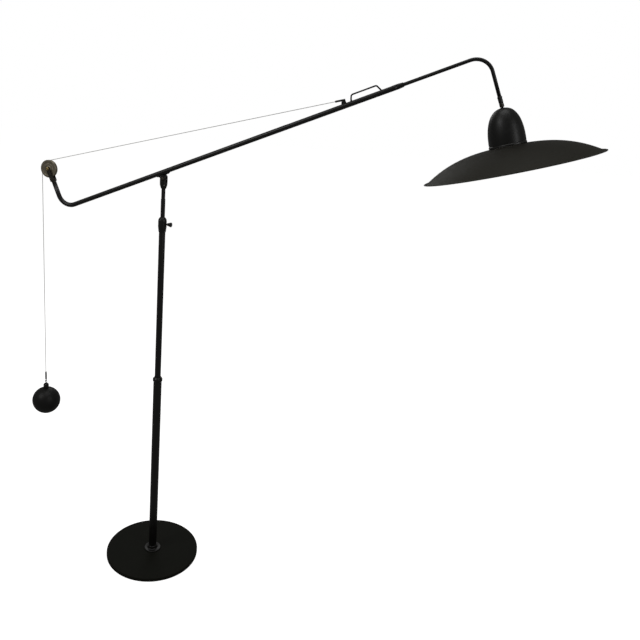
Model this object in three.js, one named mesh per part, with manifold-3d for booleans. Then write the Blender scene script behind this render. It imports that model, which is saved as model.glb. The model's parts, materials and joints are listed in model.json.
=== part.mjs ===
// Counterbalanced pharmacy floor lamp: a telescopic mast on a cast base, a tilting arm with a sliding
// front tube, a pulley and ball counterweight on a cord, and a wide spun shade.
// Millimetres, +Z up. The origin is the centre of the base's underside, and the arm lies in the XZ plane.
import * as THREE from "three";
import { mergeVertices } from "three/addons/utils/BufferGeometryUtils.js";
import Module from "manifold-3d";

// ---- driving dimensions -------------------------------------------------------------------------

const gap = 0.3; // clearance between neighbouring pieces
const slidingGap = 0.4; // clearance of a round piece that slides or turns in another

const base = { radius: 175, thickness: 14, felt: 1.7, edge: 2.5, counterbore: 17, counterboreDepth: 8 };
const flange = { radius: 31, thickness: 4, neckRadius: 18.5, neckHeight: 12 };
const tieBolt = { radius: 6, headRadius: 10, headHeight: 5, washerRadius: 15, washer: 2, plugLength: 28 };

const lowerTube = { radius: 15, wall: 2, length: 703 };
const middleTube = { radius: 11, wall: 1.5, exposed: 536.5, insertion: 55 };
const rod = { radius: 7.5, bore: 4, exposed: 98.5, insertion: 467, bushLength: 25 };
const spigot = { radius: 6.6, exposed: 35, grooveDepth: 1.1, grooveWidth: 4.6 };
const reducer = { radius: 17.4, height: 19.5, spigotLength: 22 };
const collar = { radius: 14.6, height: 50.5, taper: 18, chamfer: 11.5 };
const cableInlet = { height: 48, holeRadius: 5.3, flangeRadius: 7.4, flangeThickness: 1.6, cableRadius: 3.2 };
const clampScrew = { radius: 3, knobRadius: 8.2, knobWaist: 5.2, knobLength: 15.5, neckLength: 4, height: 28 };

const head = { radius: 12.5, bottomRadius: 8.6, taper: 12, length: 33.2, cheek: 5.7, cheekRadius: 13 };
const setScrew = { radius: 2.2, heightInHead: 12, direction: -55 };
const tongue = { thickness: 10, radius: 10 };
const saddle = { length: 48, wall: 3, flare: 9 };
const pivotBolt = { radius: 3, headRadius: 5.6, headHeight: 3.6, washerRadius: 6.6, washer: 1 };

const armSlope = THREE.MathUtils.degToRad(23.1); // rise of the arm towards the shade
const pivotOffset = 21; // from the tilt pivot to the arm tube's axis
const armTube = { radius: 8, wall: 1.5, rearBend: 48, rear: 420, rearLeg: 96, front: 803 };
const slot = { width: 5.6, rear: 450, frontMargin: 15 };
const nose = { length: 18, spigot: 13, tipWall: 1.1 };
const frontTube = { radius: 5.25, wall: 1.2, rear: 600, bend: 50, leg: 1062.5, legLength: 138 };
const glide = { length: 20 };
const handle = { wire: 2.4, rearFoot: 661, length: 95, height: 24.5, rearLean: 6.5, frontLean: 10, corner: 7 };
const anchor = { cordEnd: 615.6, height: 21.5, barRadius: 3, barLength: 31, footLength: 13, thickness: 4.4 };

const pulley = { radius: 31, pitch: 28, width: 12, height: 146.4, hubRadius: 9, grooveWidth: 7.6 };
const axle = { radius: 3, bushRadius: 5, headRadius: 6.4, headHeight: 4.6 };
const fork = { cheek: 2.8, rootWidth: 14.5, hubRadius: 7.6, sideGap: 0.7, crotchGap: 5, shoulder: 6 };

const cord = { radius: 1, sides: 8 };
const ball = { radius: 52, drop: 897 };
const ballCap = { radius: 9.9, height: 15, coneHeight: 6, seat: 6 };
const eye = { ring: 3.6, wire: 1.1, loopRing: 3.4, loopWire: 0.9 };
const cordSleeve = { radius: 3.1, length: 32 };

const joint = { drop: 150, ballRadius: 4.7, neckRadius: 2.2, cupRadius: 6.3, cupBelow: 3, ferrule: 16 };
const shadeTilt = THREE.MathUtils.degToRad(17.1); // shade axis away from plumb
const shade = { radius: 247.7, bowlRadius: 240, height: 63, lipHeight: 1.6, wall: 1.3, hole: 44, curve: 2.75 };
const rimDrop = 177; // from the ball joint to the plane of the shade's rim
const dome = { radius: 51, height: 100, wall: 1.6, ringHeight: 7.4, apexHole: 5, bluntness: 2.4 };
const stud = { coneRadius: 6.2, shankRadius: 4.6, shankLength: 20, nutRadius: 8.6, nutHeight: 5 };
const holder = { radius: 20.5, neckRadius: 11, length: 56, bore: 14.6, boreDepth: 36 };
const bulb = { radius: 30, length: 104, neckRadius: 12.2, capRadius: 12.9, capLength: 25, glass: 1 };

// ---- derived places -----------------------------------------------------------------------------

const plateBottom = base.felt + gap;
const plateTop = plateBottom + base.thickness;
const flangeTop = plateTop + gap + flange.thickness;
const lowerTubeBottom = flangeTop - flange.thickness / 2;
const lowerTubeTop = lowerTubeBottom + lowerTube.length;
const reducerBottom = lowerTubeTop + gap;
const reducerTop = reducerBottom + reducer.height;
const collarBottom = reducerTop + middleTube.exposed;
const collarTop = collarBottom + collar.height;
const middleTubeTop = collarTop - collar.chamfer - 4;
const clampHeight = collarBottom + clampScrew.height;
const headBottom = collarTop + rod.exposed;
const spigotTop = headBottom + head.length - tongue.radius - 3;
const pivotHeight = headBottom + head.length;
const armAxisHeight = pivotHeight + pivotOffset / Math.cos(armSlope);
const setScrewHeight = headBottom + setScrew.heightInHead;

const pivotAlong = -pivotOffset * Math.tan(armSlope); // of the pivot, along the arm from the mast's axis
const tubeBore = armTube.radius - armTube.wall;
const frontBore = frontTube.radius - frontTube.wall;

// ---- geometry helpers ---------------------------------------------------------------------------

const wasm = await Module();
wasm.setup();

function finish(colour, roughness, metalness) {
  return () => new THREE.MeshStandardMaterial({ color: colour, roughness, metalness });
}

const blackLacquer = finish(0x1c1b19, 0.42, 0.15);
const castBlack = finish(0x171614, 0.62, 0.1);
const darkShade = finish(0x2a2823, 0.45, 0.2);
const whiteEnamel = finish(0xe8e6df, 0.35, 0);
const steel = finish(0x8d8b86, 0.35, 0.9);
const darkSteel = finish(0x55504a, 0.4, 0.9);
const brass = finish(0x9a8452, 0.35, 0.9);
const feltGrey = finish(0x2f2f30, 0.95, 0);
const rubber = finish(0x121212, 0.85, 0);
const cordGrey = finish(0xb9b8b4, 0.6, 0.1);
const glass = finish(0xf2efe6, 0.15, 0);

function signedArea(points) {
  let sum = 0;
  for (let i = 0; i < points.length; i++) {
    const a = points[i];
    const b = points[(i + 1) % points.length];
    sum += a.x * b.y - b.x * a.y;
  }
  return sum / 2;
}

// A solid of revolution about Z. The outline is a list of [radius, height], closed by itself or by the axis.
function turned(outline, segments = 20) {
  const points = outline.map(([r, z]) => new THREE.Vector2(Math.max(r, 0), z));
  if (signedArea(points) < 0) points.reverse();
  const onAxis = points.filter((p) => p.x === 0).length;
  if (onAxis === 0) points.push(points[0].clone());
  else rotateToAxis(points);
  return new THREE.LatheGeometry(points, segments).rotateX(Math.PI / 2);
}

// Puts the outline's stretch on the axis between its last and first points.
function rotateToAxis(points) {
  while (!(points[0].x === 0 && points[points.length - 1].x === 0)) points.push(points.shift());
}

function ring(inner, outer, bottom, top, segments = 20) {
  return turned([[inner, bottom], [outer, bottom], [outer, top], [inner, top]], segments);
}

function disc(radius, bottom, top, segments = 20) {
  return turned([[0, bottom], [radius, bottom], [radius, top], [0, top]], segments);
}

// A hexagonal nut about Z, with a round hole.
function hexNut(hole, radius, bottom, top) {
  const section = circleShape(radius, 6);
  section.holes.push(circleShape(hole, 18));
  const options = { depth: top - bottom, bevelEnabled: false };
  return new THREE.ExtrudeGeometry(section, options).translate(0, 0, bottom);
}

// A plate cut to an outline in the XZ plane, between two values of y.
function plate(shape, yLow, yHigh, curveSegments = 12) {
  const options = { depth: yHigh - yLow, bevelEnabled: false, curveSegments };
  return new THREE.ExtrudeGeometry(shape, options).rotateX(Math.PI / 2).translate(0, yHigh, 0);
}

function outlineOf(points) {
  return new THREE.Shape(points.map(([x, z]) => new THREE.Vector2(x, z)));
}

// A flat path in the XZ plane through chosen stations, so straight runs take no extra sections.
class StationPath extends THREE.Curve {
  constructor(stations) {
    super();
    this.stations = stations;
  }

  station(share) {
    return this.stations[Math.round(share * (this.stations.length - 1))];
  }

  getPointAt(share) {
    return this.station(share).point.clone();
  }

  getTangentAt(share) {
    return this.station(share).tangent.clone();
  }
}

function stationAt(x, z, direction, y = 0) {
  const tangent = new THREE.Vector3(Math.cos(direction), 0, Math.sin(direction));
  return { point: new THREE.Vector3(x, y, z), tangent };
}

// Stations along straight lines between corners, each corner rounded to its radius.
function roundedPath(corners, radii, steps = 8) {
  const stations = [];
  const headings = corners.slice(1).map((c, i) => Math.atan2(c[1] - corners[i][1], c[0] - corners[i][0]));
  stations.push(stationAt(corners[0][0], corners[0][1], headings[0]));
  for (let i = 1; i < corners.length - 1; i++) {
    addCorner(stations, corners[i], headings[i - 1], headings[i], radii[i - 1], steps);
  }
  const last = corners[corners.length - 1];
  stations.push(stationAt(last[0], last[1], headings[headings.length - 1]));
  return stations;
}

function addCorner(stations, corner, before, after, radius, steps) {
  let turn = after - before;
  if (turn > Math.PI) turn -= 2 * Math.PI;
  if (turn < -Math.PI) turn += 2 * Math.PI;
  const side = Math.sign(turn);
  const setback = radius * Math.tan(Math.abs(turn) / 2);
  const startX = corner[0] - setback * Math.cos(before);
  const startZ = corner[1] - setback * Math.sin(before);
  const centreX = startX - side * radius * Math.sin(before);
  const centreZ = startZ + side * radius * Math.cos(before);
  for (let i = 0; i <= steps; i++) {
    const heading = before + (turn * i) / steps;
    const x = centreX + side * radius * Math.sin(heading);
    const z = centreZ - side * radius * Math.cos(heading);
    stations.push(stationAt(x, z, heading));
  }
}

// Sweeps a round section, hollow where a bore is given, along stations.
function swept(stations, radius, bore = 0, sides = 24) {
  const section = circleShape(radius, sides);
  if (bore > 0) section.holes.push(circleShape(bore, sides));
  const path = new StationPath(stations);
  const options = { steps: stations.length - 1, bevelEnabled: false, extrudePath: path };
  return new THREE.ExtrudeGeometry(section, options);
}

function circleShape(radius, sides) {
  const points = [];
  for (let i = 0; i < sides; i++) {
    const angle = (2 * Math.PI * (i + 0.5)) / sides;
    points.push(new THREE.Vector2(radius * Math.cos(angle), radius * Math.sin(angle)));
  }
  return new THREE.Shape(points);
}

function asSolid(geometry) {
  const bare = geometry.index ? geometry.toNonIndexed() : geometry.clone();
  bare.deleteAttribute("normal");
  bare.deleteAttribute("uv");
  const merged = mergeVertices(bare, 1e-4);
  const vertProperties = new Float32Array(merged.attributes.position.array);
  const triVerts = new Uint32Array(merged.index.array);
  return new wasm.Manifold(new wasm.Mesh({ numProp: 3, vertProperties, triVerts }));
}

function asGeometry(solid) {
  const mesh = solid.getMesh();
  const geometry = new THREE.BufferGeometry();
  geometry.setAttribute("position", new THREE.BufferAttribute(mesh.vertProperties, 3));
  geometry.setIndex(new THREE.BufferAttribute(mesh.triVerts, 1));
  return geometry.toNonIndexed();
}

function cut(geometry, ...tools) {
  let solid = asSolid(geometry);
  for (const tool of tools) solid = solid.subtract(asSolid(tool));
  return asGeometry(solid);
}

function joined(geometry, ...others) {
  let solid = asSolid(geometry);
  for (const other of others) solid = solid.add(asSolid(other));
  return asGeometry(solid);
}

// A round bar or drill lying along a direction that is turned from +X about Z.
function barAlong(degrees, radius, from, to, height, segments = 20) {
  const turn = THREE.MathUtils.degToRad(degrees);
  return disc(radius, from, to, segments).rotateY(Math.PI / 2).rotateZ(turn).translate(0, 0, height);
}

// A round bar along Y, centred on a point of the XZ plane.
function barAcross(x, z, radius, yLow, yHigh, segments = 16) {
  return disc(radius, yLow, yHigh, segments).rotateX(-Math.PI / 2).translate(x, 0, z);
}

function ringAcross(x, z, inner, outer, yLow, yHigh, segments = 20) {
  return ring(inner, outer, yLow, yHigh, segments).rotateX(-Math.PI / 2).translate(x, 0, z);
}

// An outline of revolution about Y: [radius, y] pairs round a point of the XZ plane.
function turnedAcross(x, z, outline, segments = 32) {
  return turned(outline, segments).rotateX(-Math.PI / 2).translate(x, 0, z);
}

// A round bar or ring along +X of the group it is put in.
function turnedAlong(outline, segments = 24) {
  return turned(outline, segments).rotateY(Math.PI / 2);
}

function add(group, name, geometry, material) {
  const mesh = new THREE.Mesh(geometry, material());
  mesh.name = name;
  group.add(mesh);
  return mesh;
}

// ---- base and mast ------------------------------------------------------------------------------

function makeBase(group) {
  const { radius, edge, counterbore, counterboreDepth } = base;
  const hole = tieBolt.radius + slidingGap;
  const plateOutline = [
    [hole, plateBottom + counterboreDepth],
    [counterbore, plateBottom + counterboreDepth],
    [counterbore, plateBottom],
    [radius - 1, plateBottom],
    [radius, plateBottom + 1],
    [radius, plateTop - edge],
    [radius - edge * 0.3, plateTop - edge * 0.3],
    [radius - edge, plateTop],
    [hole, plateTop],
  ];
  add(group, "base_felt", disc(base.radius - 3, 0, base.felt, 48), feltGrey);
  add(group, "base_plate", turned(plateOutline, 44), castBlack);
}

function makeTieBolt(group) {
  const roof = plateBottom + base.counterboreDepth;
  const washerBottom = roof - gap - tieBolt.washer;
  const headTop = washerBottom - gap;
  const bore = tieBolt.radius + slidingGap;
  const plugTop = lowerTubeBottom + tieBolt.plugLength;
  const bolt = turned([
    [0, headTop - tieBolt.headHeight],
    [tieBolt.headRadius, headTop - tieBolt.headHeight],
    [tieBolt.headRadius, headTop],
    [tieBolt.radius, headTop],
    [tieBolt.radius, plugTop - 4],
    [0, plugTop - 4],
  ], 16);
  const plugRadius = lowerTube.radius - lowerTube.wall - gap;
  add(group, "base_bolt", bolt, steel);
  add(group, "base_washer", ring(bore, tieBolt.washerRadius, washerBottom, roof - gap, 16), steel);
  add(group, "tube_plug", ring(bore, plugRadius, lowerTubeBottom + gap, plugTop, 20), steel);
}

function makeFlange(group) {
  const seat = lowerTubeBottom - gap;
  const socket = lowerTube.radius + gap;
  const neckTop = flangeTop + flange.neckHeight;
  const outline = [
    [tieBolt.radius + slidingGap, plateTop + gap],
    [flange.radius, plateTop + gap],
    [flange.radius, flangeTop - 1.2],
    [flange.radius - 1.2, flangeTop],
    [flange.neckRadius + 3, flangeTop],
    [flange.neckRadius, flangeTop + 3],
    [flange.neckRadius, neckTop - 1.5],
    [flange.neckRadius - 1.5, neckTop],
    [socket, neckTop],
    [socket, seat],
    [tieBolt.radius + slidingGap, seat],
  ];
  add(group, "base_flange", turned(outline, 28), blackLacquer);
}

function makeCableInlet(group) {
  const height = lowerTubeBottom + cableInlet.height;
  const outside = lowerTube.radius;
  const neck = cableInlet.holeRadius - gap;
  const outline = [
    [cableInlet.cableRadius, outside - lowerTube.wall],
    [neck, outside - lowerTube.wall],
    [neck, outside + gap],
    [cableInlet.flangeRadius, outside + gap],
    [cableInlet.flangeRadius - 0.8, outside + gap + cableInlet.flangeThickness],
    [cableInlet.cableRadius, outside + gap + cableInlet.flangeThickness],
  ];
  const grommet = turnedAcross(0, height, outline, 16);
  const wall = disc(outside + gap, height - 12, height + 12, 48);
  add(group, "cable_grommet", grommetOutside(grommet, wall, neck, height), rubber);
}

// Keeps the grommet's neck where it passes the tube's wall, and frees its flange from the round tube.
function grommetOutside(grommet, wall, neck, height) {
  const passage = barAcross(0, height, neck + 0.01, 0, lowerTube.radius + 6, 16);
  const freed = asSolid(wall).subtract(asSolid(passage));
  return asGeometry(asSolid(grommet).subtract(freed));
}

function makeMastTubes(group) {
  const bore = lowerTube.radius - lowerTube.wall;
  const inletHeight = lowerTubeBottom + cableInlet.height;
  const inletDrill = barAcross(0, inletHeight, cableInlet.holeRadius, 0, lowerTube.radius + 5, 16);
  const lower = cut(ring(bore, lowerTube.radius, lowerTubeBottom, lowerTubeTop, 28), inletDrill);
  add(group, "lower_tube", lower, blackLacquer);

  const middleBore = middleTube.radius - middleTube.wall;
  const middleBottom = reducerBottom - middleTube.insertion;
  const screwDrill = barAlong(0, clampScrew.radius + slidingGap, 0, middleTube.radius + 5, clampHeight);
  const middle = cut(ring(middleBore, middleTube.radius, middleBottom, middleTubeTop, 24), screwDrill);
  add(group, "middle_tube", middle, blackLacquer);
}

function makeReducer(group) {
  const inner = middleTube.radius + gap;
  const spigotRadius = lowerTube.radius - lowerTube.wall - gap;
  const outline = [
    [inner, reducerBottom - reducer.spigotLength],
    [spigotRadius, reducerBottom - reducer.spigotLength],
    [spigotRadius, reducerBottom],
    [lowerTube.radius + 0.6, reducerBottom],
    [reducer.radius, reducerBottom + reducer.height * 0.28],
    [reducer.radius, reducerBottom + reducer.height * 0.68],
    [middleTube.radius + 2, reducerTop],
    [inner, reducerTop],
  ];
  add(group, "reducer_ring", turned(outline, 28), blackLacquer);
}

function makeCollar(group) {
  const tubeHole = middleTube.radius + gap;
  const rodHole = rod.radius + slidingGap;
  const outline = [
    [tubeHole, collarBottom],
    [middleTube.radius + 1.3, collarBottom],
    [collar.radius, collarBottom + collar.taper],
    [collar.radius, collarTop - collar.chamfer],
    [collar.radius - 1.6, collarTop - collar.chamfer * 0.45],
    [rod.radius + 1.6, collarTop],
    [rodHole, collarTop],
    [rodHole, middleTubeTop + gap],
    [tubeHole, middleTubeTop + gap],
  ];
  const drill = barAlong(0, clampScrew.radius + slidingGap, 0, collar.radius + 5, clampHeight);
  add(group, "upper_collar", cut(turned(outline, 28), drill), blackLacquer);
}

function makeClampScrew(group) {
  const tip = rod.radius + slidingGap;
  const neck = collar.radius + clampScrew.neckLength;
  const knobEnd = neck + clampScrew.knobLength;
  const outline = [
    [0, tip],
    [clampScrew.radius - 0.8, tip],
    [clampScrew.radius, tip + 1],
    [clampScrew.radius, neck],
    [clampScrew.knobWaist, neck + 1.5],
    [clampScrew.knobWaist, neck + 4],
    [clampScrew.knobRadius, knobEnd - 3],
    [clampScrew.knobRadius, knobEnd - 1.2],
    [clampScrew.knobRadius - 1.4, knobEnd],
    [0, knobEnd],
  ];
  const knob = new THREE.Group();
  knob.position.z = clampHeight;
  add(knob, "clamp_screw", turnedAlong(outline, 18), blackLacquer);
  group.add(knob);
}

function makeRod(group) {
  const bottom = collarTop - rod.insertion;
  const shoulder = headBottom - spigot.exposed;
  const floor = spigot.radius - spigot.grooveDepth;
  const grooveLow = setScrewHeight - spigot.grooveWidth / 2;
  const grooveHigh = setScrewHeight + spigot.grooveWidth / 2;
  const outline = [
    [rod.bore, bottom],
    [rod.radius, bottom],
    [rod.radius, shoulder - 1],
    [spigot.radius, shoulder],
    [spigot.radius, grooveLow],
    [floor, grooveLow],
    [floor, grooveHigh],
    [spigot.radius, grooveHigh],
    [spigot.radius, spigotTop - 1],
    [spigot.radius - 1, spigotTop],
    [rod.bore, spigotTop],
  ];
  const bushRadius = middleTube.radius - middleTube.wall - slidingGap;
  const bushBottom = bottom + gap;
  add(group, "mast_rod", turned(outline, 20), blackLacquer);
  add(group, "rod_bush", ring(rod.radius + gap, bushRadius, bushBottom, bushBottom + rod.bushLength), brass);
}

// ---- head: fork, pivot bolt and set screw -------------------------------------------------------

function makeHead(group) {
  const slotFloor = pivotHeight - tongue.radius - 0.7;
  const halfGap = tongue.thickness / 2 + gap;
  const outerY = halfGap + head.cheek;
  const body = turned([
    [0, headBottom],
    [head.bottomRadius, headBottom],
    [head.radius, headBottom + head.taper],
    [head.radius, slotFloor + 1],
    [0, slotFloor + 1],
  ], 28);
  const boreTop = spigotTop + gap;
  const bore = disc(spigot.radius + slidingGap, headBottom - 5, boreTop, 20);
  const cableWay = disc(rod.bore, boreTop - 1, slotFloor + 5, 14);
  const cheeks = asSolid(plate(cheekOutline(slotFloor), -outerY, outerY, 12));
  const round = asSolid(disc(head.cheekRadius, headBottom, pivotHeight + 40, 32));
  const mouth = new THREE.BoxGeometry(60, 2 * halfGap, 80).translate(0, 0, slotFloor + 40);
  const pivotDrill = barAcross(0, pivotHeight, pivotBolt.radius + slidingGap, -20, 20);
  const screwDrill = barAlong(setScrew.direction, setScrew.radius + gap, 4, 30, setScrewHeight, 16);
  const solid = cheeks
    .intersect(round)
    .add(asSolid(body))
    .subtract(asSolid(bore))
    .subtract(asSolid(cableWay))
    .subtract(asSolid(mouth))
    .subtract(asSolid(pivotDrill))
    .subtract(asSolid(screwDrill));
  add(group, "head_fork", asGeometry(solid), blackLacquer);
  const screwTip = spigot.radius - spigot.grooveDepth + gap;
  const screw = barAlong(setScrew.direction, setScrew.radius, screwTip, head.radius - 0.4, setScrewHeight, 16);
  add(group, "head_set_screw", screw, steel);
}

// The side view of the fork: straight sides that widen to the rounded cheeks.
function cheekOutline(slotFloor) {
  const bottom = slotFloor - 6;
  const shape = new THREE.Shape();
  shape.moveTo(-head.radius + 1.5, bottom);
  shape.lineTo(head.radius - 1.5, bottom);
  shape.lineTo(head.cheekRadius, pivotHeight);
  shape.absarc(0, pivotHeight, head.cheekRadius, 0, Math.PI, false);
  shape.lineTo(-head.radius + 1.5, bottom);
  return shape;
}

function makePivot(group) {
  const outerY = tongue.thickness / 2 + gap + head.cheek;
  const washerFace = outerY + gap + pivotBolt.washer;
  const nutFace = washerFace + gap + pivotBolt.headHeight;
  const boltHead = -washerFace - gap;
  const boltOutline = [
    [0, boltHead - pivotBolt.headHeight],
    [pivotBolt.headRadius - 1.6, boltHead - pivotBolt.headHeight],
    [pivotBolt.headRadius, boltHead - pivotBolt.headHeight + 1.6],
    [pivotBolt.headRadius, boltHead],
    [pivotBolt.radius, boltHead],
    [pivotBolt.radius, nutFace + 1],
    [0, nutFace + 1],
  ];
  const hole = pivotBolt.radius + gap;
  const washerOuter = pivotBolt.washerRadius;
  add(group, "pivot_bolt", turnedAcross(0, pivotHeight, boltOutline, 24), darkSteel);
  const nut = hexNut(hole, pivotBolt.headRadius, washerFace + gap, nutFace);
  add(group, "pivot_nut", nut.rotateX(-Math.PI / 2).translate(0, 0, pivotHeight), darkSteel);
  for (const [name, low] of [["pivot_washer_front", -washerFace], ["pivot_washer_back", outerY + gap]]) {
    const washer = ringAcross(0, pivotHeight, hole, washerOuter, low, low + pivotBolt.washer);
    add(group, name, washer, darkSteel);
  }
}

// ---- arm: everything below is in the arm's own frame, x along the tube and z across it ----------

function makeArmTube(arm) {
  const corners = [[-armTube.rear, armTube.rearLeg], [-armTube.rear, 0], [armTube.front, 0]];
  const tube = swept(roundedPath(corners, [armTube.rearBend], 8), armTube.radius, tubeBore, 18);
  const slotFront = armTube.front - slot.frontMargin;
  const slotLength = slotFront - slot.rear;
  const slotTool = new THREE.BoxGeometry(slotLength, slot.width, 2 * armTube.radius);
  slotTool.translate(slot.rear + slotLength / 2, 0, armTube.radius);
  add(arm, "arm_tube", cut(tube, slotTool), blackLacquer);
}

function makeSaddle(arm) {
  const outer = armTube.radius + gap + saddle.wall;
  const halfTongue = tongue.thickness / 2;
  const middle = pivotAlong + saddle.length * 0.06;
  const sleeve = turnedAlong([
    [0, middle - saddle.length / 2],
    [outer - 1.5, middle - saddle.length / 2],
    [outer, middle - saddle.length / 2 + 4],
    [outer, middle + saddle.length / 2 - 4],
    [outer - 1.5, middle + saddle.length / 2],
    [0, middle + saddle.length / 2],
  ], 24);
  const upperHalf = new THREE.BoxGeometry(saddle.length + 20, 40, 40).translate(middle, 0, 19);
  const web = plate(tongueOutline(outer), -halfTongue, halfTongue, 12);
  const tubeBoreTool = turnedAlong([
    [0, middle - saddle.length],
    [armTube.radius + gap, middle - saddle.length],
    [armTube.radius + gap, middle + saddle.length],
    [0, middle + saddle.length],
  ], 20);
  const relief = head.cheekRadius + 0.7;
  const reliefOutline = [[0, halfTongue], [relief, halfTongue], [relief, 30], [0, 30]];
  const farRelief = turnedAcross(pivotAlong, -pivotOffset, reliefOutline, 28);
  const nearRelief = farRelief.clone().rotateZ(Math.PI).translate(2 * pivotAlong, 0, 0);
  const drill = barAcross(pivotAlong, -pivotOffset, pivotBolt.radius + slidingGap, -20, 20);
  const solid = asSolid(cut(sleeve, upperHalf))
    .add(asSolid(web))
    .subtract(asSolid(tubeBoreTool))
    .subtract(asSolid(farRelief))
    .subtract(asSolid(nearRelief))
    .subtract(asSolid(drill));
  add(arm, "arm_saddle", asGeometry(solid), blackLacquer);
}

// The web between the fork's cheeks: a round eye that flares into the saddle.
function tongueOutline(sleeveRadius) {
  const top = -sleeveRadius + 2;
  const shape = new THREE.Shape();
  const { radius } = tongue;
  shape.moveTo(pivotAlong - radius - saddle.flare, top);
  shape.quadraticCurveTo(pivotAlong - radius, top, pivotAlong - radius, -pivotOffset);
  shape.absarc(pivotAlong, -pivotOffset, radius, Math.PI, 2 * Math.PI, false);
  shape.quadraticCurveTo(pivotAlong + radius, top, pivotAlong + radius + saddle.flare, top);
  shape.lineTo(pivotAlong - radius - saddle.flare, top);
  return shape;
}

function makeNose(arm) {
  const bore = frontTube.radius + slidingGap;
  const start = armTube.front + gap;
  const outline = [
    [bore, start - nose.spigot],
    [tubeBore - gap, start - nose.spigot],
    [tubeBore - gap, start],
    [armTube.radius, start],
    [armTube.radius, start + 2],
    [bore + nose.tipWall, start + nose.length],
    [bore, start + nose.length],
  ];
  add(arm, "arm_nose", turnedAlong(outline, 20), blackLacquer);
}

function makePulleyFork(arm) {
  const rear = -armTube.rear;
  const shoulderBottom = armTube.rearLeg + gap;
  const shoulderTop = shoulderBottom + fork.shoulder;
  const inside = pulley.width / 2 + fork.sideGap;
  const outside = inside + fork.cheek;
  const crotch = pulley.height - pulley.radius - fork.crotchGap;
  const shank = turned([
    [0, shoulderBottom - 20],
    [tubeBore - gap, shoulderBottom - 20],
    [tubeBore - gap, shoulderBottom],
    [armTube.radius, shoulderBottom],
    [armTube.radius, shoulderTop],
    [0, shoulderTop],
  ], 20).translate(rear, 0, 0);
  const straps = plate(forkOutline(rear, shoulderTop - 2), -outside, outside, 10);
  const mouth = new THREE.BoxGeometry(60, 2 * inside, 120).translate(rear, 0, crotch + 60);
  const drill = barAcross(rear, pulley.height, axle.radius + slidingGap, -20, 20);
  const solid = asSolid(joined(shank, straps)).subtract(asSolid(mouth)).subtract(asSolid(drill));
  add(arm, "pulley_fork", asGeometry(solid), darkSteel);
}

function forkOutline(middle, bottom) {
  const half = fork.rootWidth / 2;
  const shape = new THREE.Shape();
  shape.moveTo(middle - half, bottom);
  shape.lineTo(middle + half, bottom);
  shape.lineTo(middle + half, bottom + 8);
  shape.lineTo(middle + fork.hubRadius, pulley.height);
  shape.absarc(middle, pulley.height, fork.hubRadius, 0, Math.PI, false);
  shape.lineTo(middle - half, bottom + 8);
  shape.lineTo(middle - half, bottom);
  return shape;
}

function makePulleyAxle(arm) {
  const outside = pulley.width / 2 + fork.sideGap + fork.cheek + gap;
  const headEnd = -outside - axle.headHeight;
  const outline = [
    [0, headEnd],
    [axle.headRadius * 0.5, headEnd + 0.6],
    [axle.headRadius * 0.9, headEnd + 2.4],
    [axle.headRadius, -outside],
    [axle.radius, -outside],
    [axle.radius, outside + axle.headHeight + 1],
    [0, outside + axle.headHeight + 1],
  ];
  add(arm, "pulley_axle", turnedAcross(-armTube.rear, pulley.height, outline, 24), brass);
  const nutHole = axle.radius + gap;
  const nutEnd = outside + axle.headHeight;
  const nut = hexNut(nutHole, axle.headRadius, outside, nutEnd);
  add(arm, "axle_nut", nut.rotateX(-Math.PI / 2).translate(-armTube.rear, 0, pulley.height), brass);
}

function makePulleyWheel(arm) {
  const half = pulley.width / 2;
  const floor = pulley.pitch - cord.radius - gap;
  const bore = axle.bushRadius + gap;
  const web = half - 2;
  const grooveHalf = pulley.grooveWidth / 2;
  const rimInner = floor - 3.5;
  const outline = [
    [bore, -half],
    [pulley.hubRadius, -half],
    [pulley.hubRadius + 1, -web],
    [rimInner, -web],
    [rimInner + 1, -half + 0.4],
    [pulley.radius - 0.8, -half + 0.4],
    [pulley.radius, -grooveHalf - 0.8],
    [pulley.radius, -grooveHalf],
    [floor, -1.5],
    [floor, 1.5],
    [pulley.radius, grooveHalf],
    [pulley.radius, grooveHalf + 0.8],
    [pulley.radius - 0.8, half - 0.4],
    [rimInner + 1, half - 0.4],
    [rimInner, web],
    [pulley.hubRadius + 1, web],
    [pulley.hubRadius, half],
    [bore, half],
  ];
  const wheel = turnedAcross(-armTube.rear, pulley.height, outline, 26);
  add(arm, "pulley_wheel", wheel, darkSteel);
  const bushBore = axle.radius + slidingGap;
  const bush = ringAcross(-armTube.rear, pulley.height, bushBore, axle.bushRadius, -half, half);
  add(arm, "pulley_bush", bush, brass);
}

// ---- sliding front tube, its handle and the cord anchor -----------------------------------------

function makeFrontTube(arm) {
  const corners = [[frontTube.rear, 0], [frontTube.leg, 0], [frontTube.leg, -frontTube.legLength]];
  const tube = swept(roundedPath(corners, [frontTube.bend], 8), frontTube.radius, frontBore, 16);
  add(arm, "front_tube", tube, blackLacquer);
  const start = frontTube.rear + 2;
  const bushRadius = tubeBore - slidingGap;
  const inner = frontTube.radius + gap;
  const glideOutline = [
    [inner, start],
    [bushRadius, start],
    [bushRadius, start + glide.length],
    [inner, start + glide.length],
  ];
  add(arm, "glide_bush", turnedAlong(glideOutline, 24), brass);
}

function makeHandle(arm) {
  const foot = frontTube.radius + gap;
  const rear = handle.rearFoot;
  const front = rear + handle.length;
  const corners = [
    [rear, foot],
    [rear + handle.rearLean, handle.height],
    [front - handle.frontLean, handle.height],
    [front, foot],
  ];
  const wire = swept(roundedPath(corners, [handle.corner, handle.corner], 4), handle.wire, 0, 10);
  const wedge = plate(outlineOf([
    [rear - 3, foot],
    [rear + 5, foot],
    [rear + 4.2, foot + 11],
    [rear + 1.5, foot + 11],
  ]), -handle.wire + 0.2, handle.wire - 0.2);
  const keepOut = turnedAlong([[0, rear - 30], [foot, rear - 30], [foot, front + 30], [0, front + 30]], 24);
  add(arm, "pull_handle", cut(joined(wire, wedge), keepOut), blackLacquer);
}

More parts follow.
